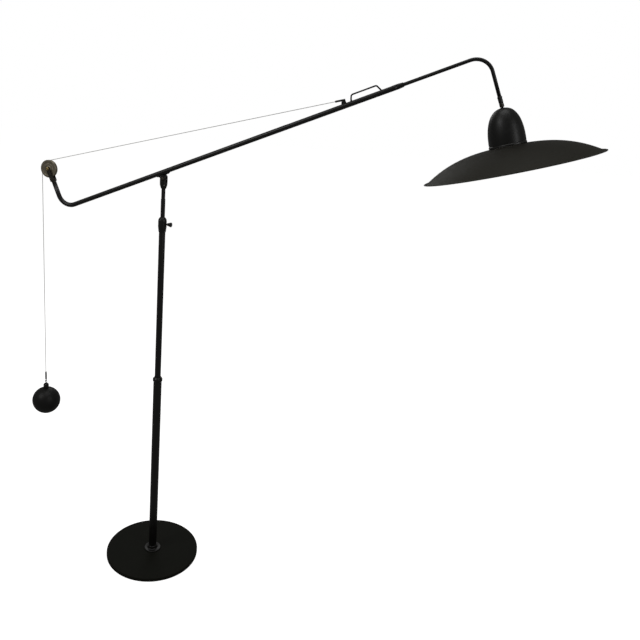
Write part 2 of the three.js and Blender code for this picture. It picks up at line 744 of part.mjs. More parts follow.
function cordDirection() {
  const rise = anchor.height - pulley.height;
  const run = anchor.cordEnd + armTube.rear;
  const reach = Math.hypot(rise, run);
  return Math.atan2(rise, run) - Math.asin(pulley.pitch / reach);
}

function makeCordAnchor(arm) {
  const heading = cordDirection();
  const endX = anchor.cordEnd + anchor.barLength * Math.cos(heading);
  const endZ = anchor.height + anchor.barLength * Math.sin(heading);
  const bar = turnedAlong([
    [0, 0],
    [anchor.barRadius - 0.6, 0],
    [anchor.barRadius, 1],
    [anchor.barRadius, anchor.barLength - 1],
    [anchor.barRadius - 0.6, anchor.barLength],
    [0, anchor.barLength],
  ], 16).rotateY(-heading).translate(anchor.cordEnd, 0, anchor.height);
  const foot = frontTube.radius + gap;
  const half = anchor.thickness / 2;
  const post = plate(outlineOf([
    [endX - anchor.footLength - 3, foot],
    [endX + 1, foot],
    [endX - 0.5, endZ],
    [endX - anchor.footLength + 2, endZ + 1],
  ]), -half, half);
  const keepOut = turnedAlong([[0, endX - 60], [foot, endX - 60], [foot, endX + 60], [0, endX + 60]], 24);
  const hole = turnedAlong([[0, -2], [cord.radius + gap, -2], [cord.radius + gap, 9], [0, 9]], 12)
    .rotateY(-heading)
    .translate(anchor.cordEnd, 0, anchor.height);
  add(arm, "cord_anchor", cut(joined(bar, post), keepOut, hole), blackLacquer);
}

function makeCordRun(arm) {
  const heading = cordDirection();
  const startX = -armTube.rear - pulley.pitch * Math.sin(heading);
  const startZ = pulley.height + pulley.pitch * Math.cos(heading);
  const endX = anchor.cordEnd + 8 * Math.cos(heading);
  const endZ = anchor.height + 8 * Math.sin(heading);
  const clear = gap * Math.cos(heading);
  const stations = [
    stationAt(startX + clear, startZ + gap * Math.sin(heading), heading),
    stationAt(endX, endZ, heading),
  ];
  add(arm, "cord_run", swept(stations, cord.radius, 0, cord.sides), cordGrey);
}

// ---- leg end and ball joint ---------------------------------------------------------------------

// A group at the ball joint, turned so that its -Z runs down the leg.
function legGroup(arm) {
  const leg = new THREE.Group();
  leg.position.set(frontTube.leg, 0, -joint.drop);
  arm.add(leg);
  return leg;
}

function makeLegFerrule(leg) {
  const tubeEnd = joint.drop - frontTube.legLength;
  const top = tubeEnd + joint.ferrule;
  const floor = tubeEnd - gap;
  const bottom = floor - 3.4;
  const sleeve = frontTube.radius + gap;
  const outline = [
    [3.6, bottom],
    [joint.cupRadius - 0.5, bottom],
    [joint.cupRadius, bottom + 1],
    [joint.cupRadius, top - 1],
    [sleeve + 0.4, top],
    [sleeve, top],
    [sleeve, floor],
    [3.6, floor],
  ];
  add(leg, "leg_ferrule", turned(outline, 18), blackLacquer);
}

function makeSwivelCup(leg) {
  const ferruleBottom = joint.drop - frontTube.legLength - gap - 3.4;
  const top = ferruleBottom - gap;
  const cavity = joint.ballRadius + gap;
  const mouth = Math.sqrt(cavity * cavity - joint.cupBelow * joint.cupBelow);
  const outline = [[0, ferruleBottom + 3], [3.1, ferruleBottom + 3], [3.1, top], [joint.cupRadius - 0.6, top]];
  outline.push([joint.cupRadius, top - 1], [joint.cupRadius, -joint.cupBelow + 1]);
  outline.push([mouth + 0.9, -joint.cupBelow], [mouth, -joint.cupBelow]);
  const steps = 8;
  const start = Math.atan2(-joint.cupBelow, mouth);
  for (let i = 1; i <= steps; i++) {
    const angle = start + ((Math.PI / 2 - start) * i) / steps;
    outline.push([i === steps ? 0 : cavity * Math.cos(angle), cavity * Math.sin(angle)]);
  }
  add(leg, "swivel_cup", turned(outline, 20), darkSteel);
}

// ---- shade: in a frame at the ball joint, with the shade's axis along -Z ------------------------

const domeTop = -(rimDrop - shade.lipHeight - shade.height - dome.ringHeight - dome.height) + gap;
const domeFoot = domeTop - dome.height;
const ringBottom = domeFoot - gap - dome.ringHeight;

function makeBallStud(shadeGroup) {
  const coneDepth = domeTop + gap - domeSagAt(stud.coneRadius);
  const outline = [];
  const neckAngle = Math.asin(joint.neckRadius / joint.ballRadius);
  const steps = 8;
  for (let i = 0; i <= steps; i++) {
    const angle = Math.PI / 2 - ((Math.PI - neckAngle) * i) / steps;
    outline.push([i === 0 ? 0 : joint.ballRadius * Math.cos(angle), joint.ballRadius * Math.sin(angle)]);
  }
  outline.push([joint.neckRadius, -joint.ballRadius - 0.6]);
  outline.push([stud.coneRadius, coneDepth + 0.6], [stud.coneRadius, coneDepth]);
  outline.push([stud.shankRadius, coneDepth], [stud.shankRadius, coneDepth - stud.shankLength]);
  outline.push([0, coneDepth - stud.shankLength]);
  add(shadeGroup, "ball_stud", turned(outline, 20), blackLacquer);

  const nutTop = domeTop - dome.wall - domeSagAt(stud.nutRadius) - 0.8;
  const nut = hexNut(stud.shankRadius + gap, stud.nutRadius, nutTop - stud.nutHeight, nutTop);
  add(shadeGroup, "stem_nut", nut, steel);
}

// How far the dome's outside falls below its apex at a radius.
function domeSagAt(radius) {
  const across = (radius / dome.radius) ** dome.bluntness;
  return dome.height * (1 - (1 - across) ** (1 / dome.bluntness));
}

// A point of the dome's blunt profile, as shares of its radius and its height.
function domePoint(angle) {
  const power = 2 / dome.bluntness;
  return [Math.sin(angle) ** power, Math.max(0, Math.cos(angle)) ** power];
}

function makeDome(shadeGroup) {
  const outside = [];
  const inside = [];
  const steps = 7;
  const first = Math.asin((dome.apexHole / dome.radius) ** (dome.bluntness / 2));
  for (let i = 0; i <= steps; i++) {
    const angle = first + ((Math.PI / 2 - first) * i) / steps;
    const [across, up] = domePoint(angle);
    outside.push([dome.radius * across, domeFoot + dome.height * up]);
    const innerRadius = i === 0 ? dome.apexHole : (dome.radius - dome.wall) * across;
    inside.push([Math.max(innerRadius, dome.apexHole), domeFoot + (dome.height - dome.wall) * up]);
  }
  add(shadeGroup, "shade_dome", turned([...outside, ...inside.reverse()], 30), blackLacquer);
}

function makeShadeRing(shadeGroup) {
  const outline = [
    [shade.hole, ringBottom],
    [dome.radius + 0.5, ringBottom],
    [dome.radius + 1.2, ringBottom + 1.2],
    [dome.radius - 0.6, ringBottom + dome.ringHeight - 1.2],
    [dome.radius - 0.6, ringBottom + dome.ringHeight],
    [shade.hole, ringBottom + dome.ringHeight],
  ];
  add(shadeGroup, "shade_ring", turned(outline, 30), blackLacquer);
}

function bowlHeight(radius) {
  return shade.lipHeight + shade.height * (1 - (radius / shade.bowlRadius) ** shade.curve);
}

function makeReflector(shadeGroup) {
  const outside = [];
  const inside = [];
  const steps = 8;
  const rimPlane = -rimDrop;
  for (let i = 0; i <= steps; i++) {
    const share = (i / steps) ** 0.8;
    const radius = shade.hole + (shade.bowlRadius - 1 - shade.hole) * share;
    const slope = (bowlHeight(radius - 0.5) - bowlHeight(radius + 0.5));
    const thickness = shade.wall * Math.sqrt(1 + slope * slope);
    outside.push([radius, rimPlane + bowlHeight(radius)]);
    inside.push([radius, rimPlane + Math.max(bowlHeight(radius) - thickness, i === steps ? 0.5 : 0)]);
  }
  outside.push([shade.bowlRadius + 2, rimPlane + shade.lipHeight + 0.2]);
  outside.push([shade.radius - 0.6, rimPlane + shade.lipHeight + 0.9]);
  outside.push([shade.radius, rimPlane + shade.lipHeight + 0.3]);
  outside.push([shade.radius, rimPlane + 0.8]);
  inside.push([shade.bowlRadius + 2, rimPlane + 0.2]);
  add(shadeGroup, "shade_reflector", turned([...outside, ...inside.reverse()], 44), darkShade);
}

function makeLampHolder(shadeGroup) {
  const nutBottom = domeTop - dome.wall - domeSagAt(stud.nutRadius) - 0.8 - stud.nutHeight;
  const top = nutBottom - gap;
  const bottom = top - holder.length;
  const boreRoof = bottom + holder.boreDepth;
  const shankRoom = stud.shankRadius + gap;
  const shankEnd = domeTop + gap - domeSagAt(stud.coneRadius) - stud.shankLength - gap;
  const body = turned([
    [0, bottom],
    [holder.radius, bottom],
    [holder.radius, bottom + holder.boreDepth],
    [holder.neckRadius, top - 8],
    [holder.neckRadius, top],
    [0, top],
  ], 28);
  const entry = disc(shankRoom, shankEnd, top + 5, 20);
  const socket = disc(holder.bore, bottom - 5, boreRoof, 28);
  add(shadeGroup, "lamp_holder", cut(body, entry, socket), castBlack);

  const shellOuter = holder.bore - gap;
  const shellTop = boreRoof - gap;
  const shell = ring(shellOuter - 0.6, shellOuter, bottom + 6, shellTop, 28);
  add(shadeGroup, "socket_shell", shell, brass);
  const contact = disc(4.5, shellTop - 2, shellTop, 16);
  add(shadeGroup, "centre_contact", contact, brass);
  makeBulb(shadeGroup, shellTop - 2 - gap);
}

function makeBulb(shadeGroup, top) {
  const capBottom = top - bulb.capLength;
  const cap = turned([
    [0, top],
    [4, top],
    [bulb.capRadius - 2, top - 4],
    [bulb.capRadius, top - 6],
    [bulb.capRadius, capBottom],
    [0, capBottom],
  ], 24);
  add(shadeGroup, "bulb_cap", cap, steel);
  const outside = bulbOutline(capBottom - gap, top - bulb.length, 0);
  const inside = bulbOutline(capBottom - gap, top - bulb.length + bulb.glass, bulb.glass);
  add(shadeGroup, "bulb_glass", turned([...outside, ...inside.reverse()], 16), glass);
}

// The pear outline of the bulb, from its neck down to the tip.
function bulbOutline(neck, tip, inset) {
  const radius = bulb.radius - inset;
  const neckRadius = bulb.neckRadius - inset;
  const centre = tip + radius;
  const outline = [[neckRadius, neck]];
  const flareSteps = 4;
  const start = THREE.MathUtils.degToRad(38);
  const flareRadius = radius * Math.cos(start);
  const flareHeight = centre + radius * Math.sin(start);
  for (let i = 1; i < flareSteps; i++) {
    const share = i / flareSteps;
    const ease = share * share * (3 - 2 * share);
    outline.push([neckRadius + (flareRadius - neckRadius) * ease, neck + (flareHeight - neck) * share]);
  }
  const steps = 7;
  for (let i = 0; i <= steps; i++) {
    const angle = start - ((start + Math.PI / 2) * i) / steps;
    outline.push([i === steps ? 0 : radius * Math.cos(angle), centre + radius * Math.sin(angle)]);
  }
  return outline;
}

// ---- cord over the pulley, and the hanging ball -------------------------------------------------

function armPoint(along, across) {
  const x = along * Math.cos(armSlope) - across * Math.sin(armSlope);
  const z = armAxisHeight + along * Math.sin(armSlope) + across * Math.cos(armSlope);
  return { x, z };
}

function makeCordWrap(group) {
  const centre = armPoint(-armTube.rear, pulley.height);
  const topAngle = Math.PI / 2 + cordDirection() + armSlope;
  const spare = gap / 2 / pulley.pitch;
  const stations = [];
  const steps = 10;
  for (let i = 0; i <= steps; i++) {
    const angle = Math.PI - spare - ((Math.PI - topAngle - 2 * spare) * i) / steps;
    const x = centre.x + pulley.pitch * Math.cos(angle);
    const z = centre.z + pulley.pitch * Math.sin(angle);
    stations.push(stationAt(x, z, angle - Math.PI / 2));
  }
  add(group, "cord_wrap", swept(stations, cord.radius, 0, cord.sides), cordGrey);
}

function makeBallWeight(group) {
  const centre = armPoint(-armTube.rear, pulley.height);
  const hang = new THREE.Group();
  hang.position.set(centre.x - pulley.pitch, 0, centre.z - ball.drop);
  group.add(hang);

  const seat = ball.radius - ballCap.seat;
  const capBottom = seat + gap;
  const socket = disc(ballCap.radius + gap, seat, ball.radius + 5, 32);
  const sphere = new THREE.SphereGeometry(ball.radius, 26, 15).rotateX(Math.PI / 2);
  add(hang, "counterweight_ball", cut(sphere, socket), castBlack);

  const capTop = ball.radius - 1 + ballCap.height;
  const coneTop = capTop + ballCap.coneHeight;
  const cap = turned([
    [0, capBottom],
    [ballCap.radius, capBottom],
    [ballCap.radius, capTop],
    [ballCap.radius * 0.75, capTop + ballCap.coneHeight * 0.5],
    [2.4, coneTop],
    [0, coneTop],
  ], 22);
  const stemDrill = disc(eye.wire + gap, coneTop - 8, coneTop + 5, 12);
  add(hang, "ball_cap", cut(cap, stemDrill), blackLacquer);

  const eyeHeight = coneTop + eye.ring + eye.wire + 0.6;
  const eyeRing = new THREE.TorusGeometry(eye.ring, eye.wire, 8, 16).rotateX(Math.PI / 2);
  eyeRing.translate(0, 0, eyeHeight);
  const stem = disc(eye.wire, coneTop - 7, eyeHeight - eye.ring, 12);
  add(hang, "ball_eye", joined(eyeRing, stem), steel);

  const loopHeight = eyeHeight + eye.ring - eye.wire - eye.loopWire - gap - 0.6 + eye.loopRing;
  const loop = new THREE.TorusGeometry(eye.loopRing, eye.loopWire, 6, 14).rotateX(Math.PI / 2);
  loop.rotateZ(Math.PI / 2).translate(0, 0, loopHeight);
  add(hang, "cord_loop", loop, cordGrey);

  const sleeveBottom = loopHeight + eye.loopRing + eye.loopWire + gap;
  const sleeveTop = sleeveBottom + cordSleeve.length;
  const bore = cord.radius + gap;
  const sleeve = turned([
    [bore, sleeveBottom],
    [cordSleeve.radius - 0.8, sleeveBottom],
    [cordSleeve.radius, sleeveBottom + 2],
    [cordSleeve.radius, sleeveTop - 3],
    [bore + 0.6, sleeveTop],
    [bore, sleeveTop],
  ], 16);
  add(hang, "cord_sleeve", sleeve, rubber);

  const cordTop = ball.drop - gap / 2;
  const drop = disc(cord.radius, sleeveBottom, cordTop, cord.sides);
  add(hang, "cord_drop", drop, cordGrey);
}

// ---- the lamp -----------------------------------------------------------------------------------

function makeStand(lamp) {
  makeBase(lamp);
  makeTieBolt(lamp);
  makeFlange(lamp);
  makeCableInlet(lamp);
  makeMastTubes(lamp);
  makeReducer(lamp);
  makeCollar(lamp);
  makeClampScrew(lamp);
  makeRod(lamp);
  makeHead(lamp);
  makePivot(lamp);
}

function makeArm(lamp) {
  const arm = new THREE.Group();
  arm.position.z = armAxisHeight;
  arm.rotation.y = -armSlope;
  lamp.add(arm);
  makeArmTube(arm);
  makeSaddle(arm);
  makeNose(arm);
  makePulleyFork(arm);
  makePulleyAxle(arm);
  makePulleyWheel(arm);
  makeFrontTube(arm);
  makeHandle(arm);
  makeCordAnchor(arm);
  makeCordRun(arm);
  const leg = legGroup(arm);
  makeLegFerrule(leg);
  makeSwivelCup(leg);
}

function makeShade(lamp) {
  const place = armPoint(frontTube.leg, -joint.drop);
  const shadeGroup = new THREE.Group();
  shadeGroup.position.set(place.x, 0, place.z);
  shadeGroup.rotation.y = -shadeTilt;
  lamp.add(shadeGroup);
  makeBallStud(shadeGroup);
  makeDome(shadeGroup);
  makeShadeRing(shadeGroup);
  makeReflector(shadeGroup);
  makeLampHolder(shadeGroup);
}

const lamp = new THREE.Group();
lamp.name = "pharmacy_floor_lamp";
makeStand(lamp);
makeArm(lamp);
makeShade(lamp);
makeCordWrap(lamp);
makeBallWeight(lamp);

export default lamp;
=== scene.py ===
import json
from math import asin, atan2, cos, hypot, pi, radians, sin, sqrt, tan

import bmesh
import bpy
from mathutils import Matrix, Vector


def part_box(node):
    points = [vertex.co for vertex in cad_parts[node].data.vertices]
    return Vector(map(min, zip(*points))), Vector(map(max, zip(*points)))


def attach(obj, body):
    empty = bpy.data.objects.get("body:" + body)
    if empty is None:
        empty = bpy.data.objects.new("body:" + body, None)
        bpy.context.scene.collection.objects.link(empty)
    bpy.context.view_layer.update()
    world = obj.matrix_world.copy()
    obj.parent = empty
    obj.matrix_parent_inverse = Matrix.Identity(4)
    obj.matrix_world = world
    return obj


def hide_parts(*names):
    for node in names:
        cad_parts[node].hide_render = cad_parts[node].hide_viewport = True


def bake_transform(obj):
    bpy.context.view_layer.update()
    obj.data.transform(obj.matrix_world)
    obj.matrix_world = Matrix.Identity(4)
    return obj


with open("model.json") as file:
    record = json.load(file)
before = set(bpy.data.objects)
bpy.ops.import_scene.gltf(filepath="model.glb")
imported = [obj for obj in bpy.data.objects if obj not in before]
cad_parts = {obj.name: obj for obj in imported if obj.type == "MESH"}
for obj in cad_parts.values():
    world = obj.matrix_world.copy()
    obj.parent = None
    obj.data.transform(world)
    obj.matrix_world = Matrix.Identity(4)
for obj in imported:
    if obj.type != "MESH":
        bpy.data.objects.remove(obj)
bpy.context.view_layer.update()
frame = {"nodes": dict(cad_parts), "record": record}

# camera
view = dict(place=(0.91775, -1.94495, 1.66925), turn=0.260598, down=0.252402, roll=0.076162,
            lens=35.082, shift=(0.07722, -0.05678))


def addCamera():
    turn, down, roll = view["turn"], view["down"], view["roll"]
    look = Vector((-sin(turn) * cos(down), cos(turn) * cos(down), -sin(down)))
    right = Vector((cos(turn), sin(turn), 0))
    up = right.cross(look)
    across = right * cos(roll) + up * sin(roll)
    above = up * cos(roll) - right * sin(roll)
    data = bpy.data.cameras.new("camera")
    data.lens = view["lens"]
    data.sensor_width = 36
    data.shift_x, data.shift_y = view["shift"]
    data.clip_end = 120
    camera = bpy.data.objects.new("camera", data)
    camera.matrix_world = Matrix((
        (across.x, above.x, -look.x, view["place"][0]),
        (across.y, above.y, -look.y, view["place"][1]),
        (across.z, above.z, -look.z, view["place"][2]),
        (0, 0, 0, 1)))
    bpy.context.collection.objects.link(camera)
    bpy.context.scene.camera = camera


addCamera()
print("camera placed")


# finishes
# a socket that arithmetic can be written on
class Wire:
    def __init__(self, finish, socket):
        self.finish = finish
        self.socket = socket

    def sum(self, operation, a, b):
        return self.finish.node("ShaderNodeMath", {0: a, 1: b}, operation=operation)

    def __add__(self, other):
        return self.sum("ADD", self, other)

    def __radd__(self, other):
        return self.sum("ADD", other, self)

    def __sub__(self, other):
        return self.sum("SUBTRACT", self, other)

    def __rsub__(self, other):
        return self.sum("SUBTRACT", other, self)

    def __mul__(self, other):
        return self.sum("MULTIPLY", self, other)

    def __rmul__(self, other):
        return self.sum("MULTIPLY", other, self)


class Finish:
    def __init__(self, name, **constants):
        self.material = bpy.data.materials.new(name)
        self.material.use_nodes = True
        self.tree = self.material.node_tree
        self.shader = self.tree.nodes["Principled BSDF"]
        for key, value in constants.items():
            self.shader.inputs[key.replace("_", " ")].default_value = value

    def node(self, kind, values=None, output=0, **settings):
        made = self.tree.nodes.new(kind)
        for key, value in settings.items():
            setattr(made, key, value)
        for key, value in (values or {}).items():
            if isinstance(value, Wire):
                self.tree.links.new(value.socket, made.inputs[key])
            else:
                made.inputs[key].default_value = value
        return Wire(self, made.outputs[output])

    def feed(self, name, wire):
        self.tree.links.new(wire.socket, self.shader.inputs[name])

    def place(self):
        return self.node("ShaderNodeTexCoord", output="Object")

    def noise(self, at, scale, detail=3.0, roughness=0.5):
        values = {"Vector": at, "Scale": scale, "Detail": detail, "Roughness": roughness}
        return self.node("ShaderNodeTexNoise", values)

    def ramp(self, value, low, high):
        return self.node("ShaderNodeMapRange", {"Value": value, "From Min": low, "From Max": high}, clamp=True)

    def blendColour(self, share, a, b):
        made = self.tree.nodes.new("ShaderNodeMix")
        made.data_type = "RGBA"
        for index, value in ((0, share), (6, a), (7, b)):
            if isinstance(value, Wire):
                self.tree.links.new(value.socket, made.inputs[index])
            else:
                made.inputs[index].default_value = value if index == 0 else (*value, 1)
        return Wire(self, made.outputs[2])

    def bump(self, height, depth, strength=1.0):
        return self.node("ShaderNodeBump", {"Height": height, "Distance": depth, "Strength": strength})

    # distance from an axis through centre, across the given plane
    def radius(self, centre, turn=(0, 0, 0), plane="XY"):
        at = self.node("ShaderNodeMapping", {"Vector": self.place(), "Location": centre, "Rotation": turn},
                       vector_type="TEXTURE")
        flat = (1, 1, 0) if plane == "XY" else (1, 0, 1)
        kept = self.node("ShaderNodeVectorMath", {0: at, 1: flat}, operation="MULTIPLY")
        return self.node("ShaderNodeVectorMath", {0: kept}, output="Value", operation="LENGTH")


# stove enamel: a faint orange peel, soft clouding, and a dry haze where hands and dust dulled it
def lacquer(name, light, dark, gloss=0.4, peel=0.00012, coat=0.08, shine=0.5):
    made = Finish(name, Coat_Weight=coat, Coat_Roughness=0.25, Specular_IOR_Level=shine)
    at = made.place()
    cloud = made.noise(at, 11, 4, 0.6)
    haze = made.ramp(made.noise(at, 38, 7, 0.68), 0.48, 0.72)
    specks = made.ramp(made.noise(at, 620, 2, 0.5), 0.66, 0.74)
    made.feed("Base Color", made.blendColour(haze * 0.45 + specks * 0.2 + cloud * 0.3, dark, light))
    made.feed("Roughness", cloud * 0.1 + haze * 0.14 + specks * 0.1 + (gloss - 0.05))
    peelWave = made.noise(at, 420, 2, 0.45)
    grit = made.noise(at, 2600, 1, 0.5)
    made.feed("Normal", made.bump(peelWave + grit * 0.12, peel))
    return made.material


def castFinish(name, light, dark, rough, depth, shine=0.3):
    made = Finish(name, Specular_IOR_Level=shine)
    at = made.place()
    cloud = made.noise(at, 9, 5, 0.62)
    grain = made.noise(at, 950, 3, 0.6)
    pits = made.ramp(made.noise(at, 330, 3, 0.55), 0.62, 0.74)
    made.feed("Base Color", made.blendColour(cloud * 0.7 + grain * 0.25, dark, light))
    made.feed("Roughness", rough - 0.06 + cloud * 0.12)
    made.feed("Normal", made.bump(grain - pits * 0.8, depth))
    return made.material


# metal with fine rings from the lathe round its own axis, and a little tarnish
def turnedMetal(name, light, dark, rough, centre, turn=(0, 0, 0), plane="XY", metal=0.9):
    made = Finish(name, Metallic=metal)
    reach = made.radius(centre, turn, plane)
    rings = made.node("ShaderNodeTexNoise", {"W": reach, "Scale": 2600.0, "Detail": 2.0}, noise_dimensions="1D")
    broad = made.node("ShaderNodeTexNoise", {"W": reach, "Scale": 330.0, "Detail": 1.0}, noise_dimensions="1D")
    tarnish = made.ramp(made.noise(made.place(), 90, 6, 0.65), 0.4, 0.68)
    made.feed("Base Color", made.blendColour(tarnish * 0.6 + broad * 0.4, light, dark))
    made.feed("Roughness", rough + rings * 0.12 + tarnish * 0.15)
    made.feed("Normal", made.bump(rings, 0.00004, 0.6))
    return made.material


def plainMetal(name, light, dark, rough, metal=0.9):
    made = Finish(name, Metallic=metal)
    at = made.place()
    tarnish = made.ramp(made.noise(at, 120, 6, 0.65), 0.38, 0.7)
    made.feed("Base Color", made.blendColour(tarnish, light, dark))
    made.feed("Roughness", rough + tarnish * 0.18)
    made.feed("Normal", made.bump(made.noise(at, 1500, 2, 0.5), 0.00003))
    return made.material


# spun sheet under dark olive lacquer, painted lighter towards the rim as a sheen, and rougher there
def shadeFinish(name, centre, turn):
    made = Finish(name, Specular_IOR_Level=0.22)
    at = made.place()
    reach = made.radius(centre, turn)
    rings = made.node("ShaderNodeTexNoise", {"W": reach, "Scale": 420.0, "Detail": 2.0}, noise_dimensions="1D")
    cloud = made.noise(at, 7, 4, 0.6)
    haze = made.ramp(made.noise(at, 30, 7, 0.7), 0.46, 0.74)
    # painted sheen: a radial ramp lightens the colour from the centre out to the rim
    outward = made.ramp(reach, 0.09, 0.25)
    inner = made.blendColour(cloud, (0.0098, 0.0091, 0.0060), (0.0160, 0.0149, 0.0100))
    # the lighter outer tones are the painted sheen
    outer = made.blendColour(cloud, (0.0215, 0.0204, 0.0145), (0.0310, 0.0296, 0.0218))
    body = made.blendColour(outward, inner, outer)
    made.feed("Base Color", made.blendColour(haze * 0.2, body, (0.046, 0.0435, 0.033)))
    made.feed("Roughness", 0.50 + cloud * 0.08 + haze * 0.10 + outward * 0.06)
    made.feed("Normal", made.bump(rings + made.noise(at, 380, 2, 0.5) * 0.6, 0.00011))
    return made.material


def enamelFinish(name):
    made = Finish(name, Coat_Weight=0.25, Coat_Roughness=0.12)
    at = made.place()
    cloud = made.noise(at, 12, 5, 0.6)
    made.feed("Base Color", made.blendColour(cloud, (0.72, 0.70, 0.63), (0.82, 0.81, 0.76)))
    made.feed("Roughness", 0.26 + cloud * 0.12)
    made.feed("Normal", made.bump(made.noise(at, 260, 2, 0.5), 0.0001))
    return made.material


def rubberFinish(name):
    made = Finish(name, Specular_IOR_Level=0.2)
    at = made.place()
    cloud = made.noise(at, 60, 5, 0.6)
    made.feed("Base Color", made.blendColour(cloud, (0.007, 0.007, 0.007), (0.017, 0.016, 0.015)))
    made.feed("Roughness", 0.62 + cloud * 0.2)
    made.feed("Normal", made.bump(made.noise(at, 1700, 2, 0.6), 0.00006))
    return made.material


def feltFinish(name):
    made = Finish(name, Sheen_Weight=0.3)
    at = made.place()
    fibres = made.noise(at, 1100, 5, 0.75)
    cloud = made.noise(at, 20, 4, 0.6)
    mottle = fibres * 0.6 + cloud * 0.4
    made.feed("Base Color", made.blendColour(mottle, (0.016, 0.016, 0.017), (0.05, 0.05, 0.052)))
    made.feed("Roughness", 0.86 + fibres * 0.12)
    made.feed("Normal", made.bump(fibres, 0.0005))
    return made.material


# a light braided cord: two sets of strands crossing on the slant
def cordFinish(name):
    made = Finish(name, Sheen_Weight=0.2)
    at = made.place()
    mirrored = made.node("ShaderNodeMapping", {"Vector": at, "Scale": (-1, 1, 1)})
    one, two = (made.node("ShaderNodeTexWave", {"Vector": way, "Scale": 330.0, "Distortion": 0.6},
                          output="Fac", wave_type="BANDS", bands_direction="DIAGONAL") for way in (at, mirrored))
    soil = made.noise(at, 55, 5, 0.65)
    strands = one * 0.5 + two * 0.5
    worn = soil * 0.55 + strands * 0.35
    made.feed("Base Color", made.blendColour(worn, (0.68, 0.675, 0.65), (0.9, 0.895, 0.87)))
    made.feed("Roughness", 0.55 + soil * 0.2)
    made.feed("Normal", made.bump(strands, 0.00025))
    return made.material


def glassFinish(name):
    made = Finish(name, Coat_Weight=0.6, Coat_Roughness=0.05)
    at = made.place()
    cloud = made.noise(at, 30, 3, 0.5)
    made.feed("Base Color", made.blendColour(cloud, (0.80, 0.785, 0.74), (0.88, 0.87, 0.83)))
    made.feed("Roughness", 0.16 + cloud * 0.06)
    made.feed("Normal", made.bump(cloud, 0.0001))
    return made.material


# shape tools
# rounds the corners of an open outline of (radius, height, corner) points
def rounded(outline, segments=4):
    points = []
    for index, entry in enumerate(outline):
        here = Vector(entry[:2])
        corner = entry[2] if len(entry) > 2 else 0
        if corner == 0 or index in (0, len(outline) - 1):
            points.append(here)
            continue
        before = Vector(outline[index - 1][:2]) - here
        after = Vector(outline[index + 1][:2]) - here
        angle = before.angle(after)
        setback = min(corner / tan(angle / 2), before.length * 0.49, after.length * 0.49)
        radius = setback * tan(angle / 2)
        middle = (before.normalized() + after.normalized()).normalized() * (radius / sin(angle / 2))
        first = here + before.normalized() * setback - (here + middle)
        last = here + after.normalized() * setback - (here + middle)
        for step in range(segments + 1):
            share = step / segments
            points.append(here + middle + slerpFlat(first, last, share, radius))
    return points


def slerpFlat(first, last, share, radius):
    start = atan2(first.y, first.x)
    swing = (atan2(last.y, last.x) - start + pi) % (2 * pi) - pi
    return Vector((cos(start + swing * share), sin(start + swing * share))) * radius


# a solid of revolution about Z from an outline of (radius, height) in metres
def spun(outline, steps=64, closed=True):
    mesh = bmesh.new()
    points = [mesh.verts.new((p[0], 0, p[1])) for p in outline]
    pairs = list(zip(points, points[1:]))
    if closed:
        pairs.append((points[-1], points[0]))
    edges = [mesh.edges.new(pair) for pair in pairs]
    bmesh.ops.spin(mesh, geom=points + edges, cent=(0, 0, 0), axis=(0, 0, 1), angle=2 * pi, steps=steps,
                   use_merge=True, use_duplicate=False)
    return tidy(mesh)


def tidy(mesh):
    bmesh.ops.remove_doubles(mesh, verts=mesh.verts, dist=1e-6)
    bmesh.ops.dissolve_degenerate(mesh, edges=mesh.edges, dist=1e-7)
    bmesh.ops.recalc_face_normals(mesh, faces=mesh.faces)
    return mesh


# spins an outline that starts and ends on the axis
def turnedSolid(outline, steps=64):
    return spun(outline, steps, closed=False)


# a tube in the XZ plane from runs of (length,) and bends of (radius, angle), left open if it gets a wall
def bentTube(start, heading, radius, moves, sides=40, wall=0, bendSteps=18):
    mesh = bmesh.new()
    ringOfVerts = bmesh.ops.create_circle(mesh, cap_ends=False, segments=sides, radius=radius)["verts"]
    turn = Matrix.Rotation(pi / 2 - heading, 4, "Y")
    bmesh.ops.transform(mesh, matrix=Matrix.Translation(start) @ turn, verts=ringOfVerts)
    ring = list(mesh.edges)
    place = Vector(start)
    for move in moves:
        along = Vector((cos(heading), 0, sin(heading)))
        if len(move) == 1:
            grown = bmesh.ops.extrude_edge_only(mesh, edges=ring)["geom"]
            verts = [g for g in grown if isinstance(g, bmesh.types.BMVert)]
            bmesh.ops.translate(mesh, verts=verts, vec=along * move[0])
            ring = endRing(grown, verts)
            place = place + along * move[0]
            continue
        bend, angle = move
        side = 1 if angle > 0 else -1
        normal = Vector((-sin(heading), 0, cos(heading)))
        centre = place + normal * bend * side
        geom = ring + list({v for e in ring for v in e.verts})
        last = bmesh.ops.spin(mesh, geom=geom, cent=centre, axis=(0, -1, 0), angle=angle, steps=bendSteps,
                              use_duplicate=False)["geom_last"]
        ring = [g for g in last if isinstance(g, bmesh.types.BMEdge)]
        heading += angle
        place = centre - Vector((-sin(heading), 0, cos(heading))) * bend * side
    if wall == 0:
        bmesh.ops.holes_fill(mesh, edges=[e for e in mesh.edges if e.is_boundary], sides=sides)
    bmesh.ops.recalc_face_normals(mesh, faces=mesh.faces)
    outwards(mesh)
    return mesh


def endRing(grown, verts):
    members = set(verts)
    edges = [g for g in grown if isinstance(g, bmesh.types.BMEdge)]
    return [e for e in edges if e.verts[0] in members and e.verts[1] in members]


def outwards(mesh):
    if mesh.calc_volume(signed=True) < 0:
        bmesh.ops.reverse_faces(mesh, faces=mesh.faces)


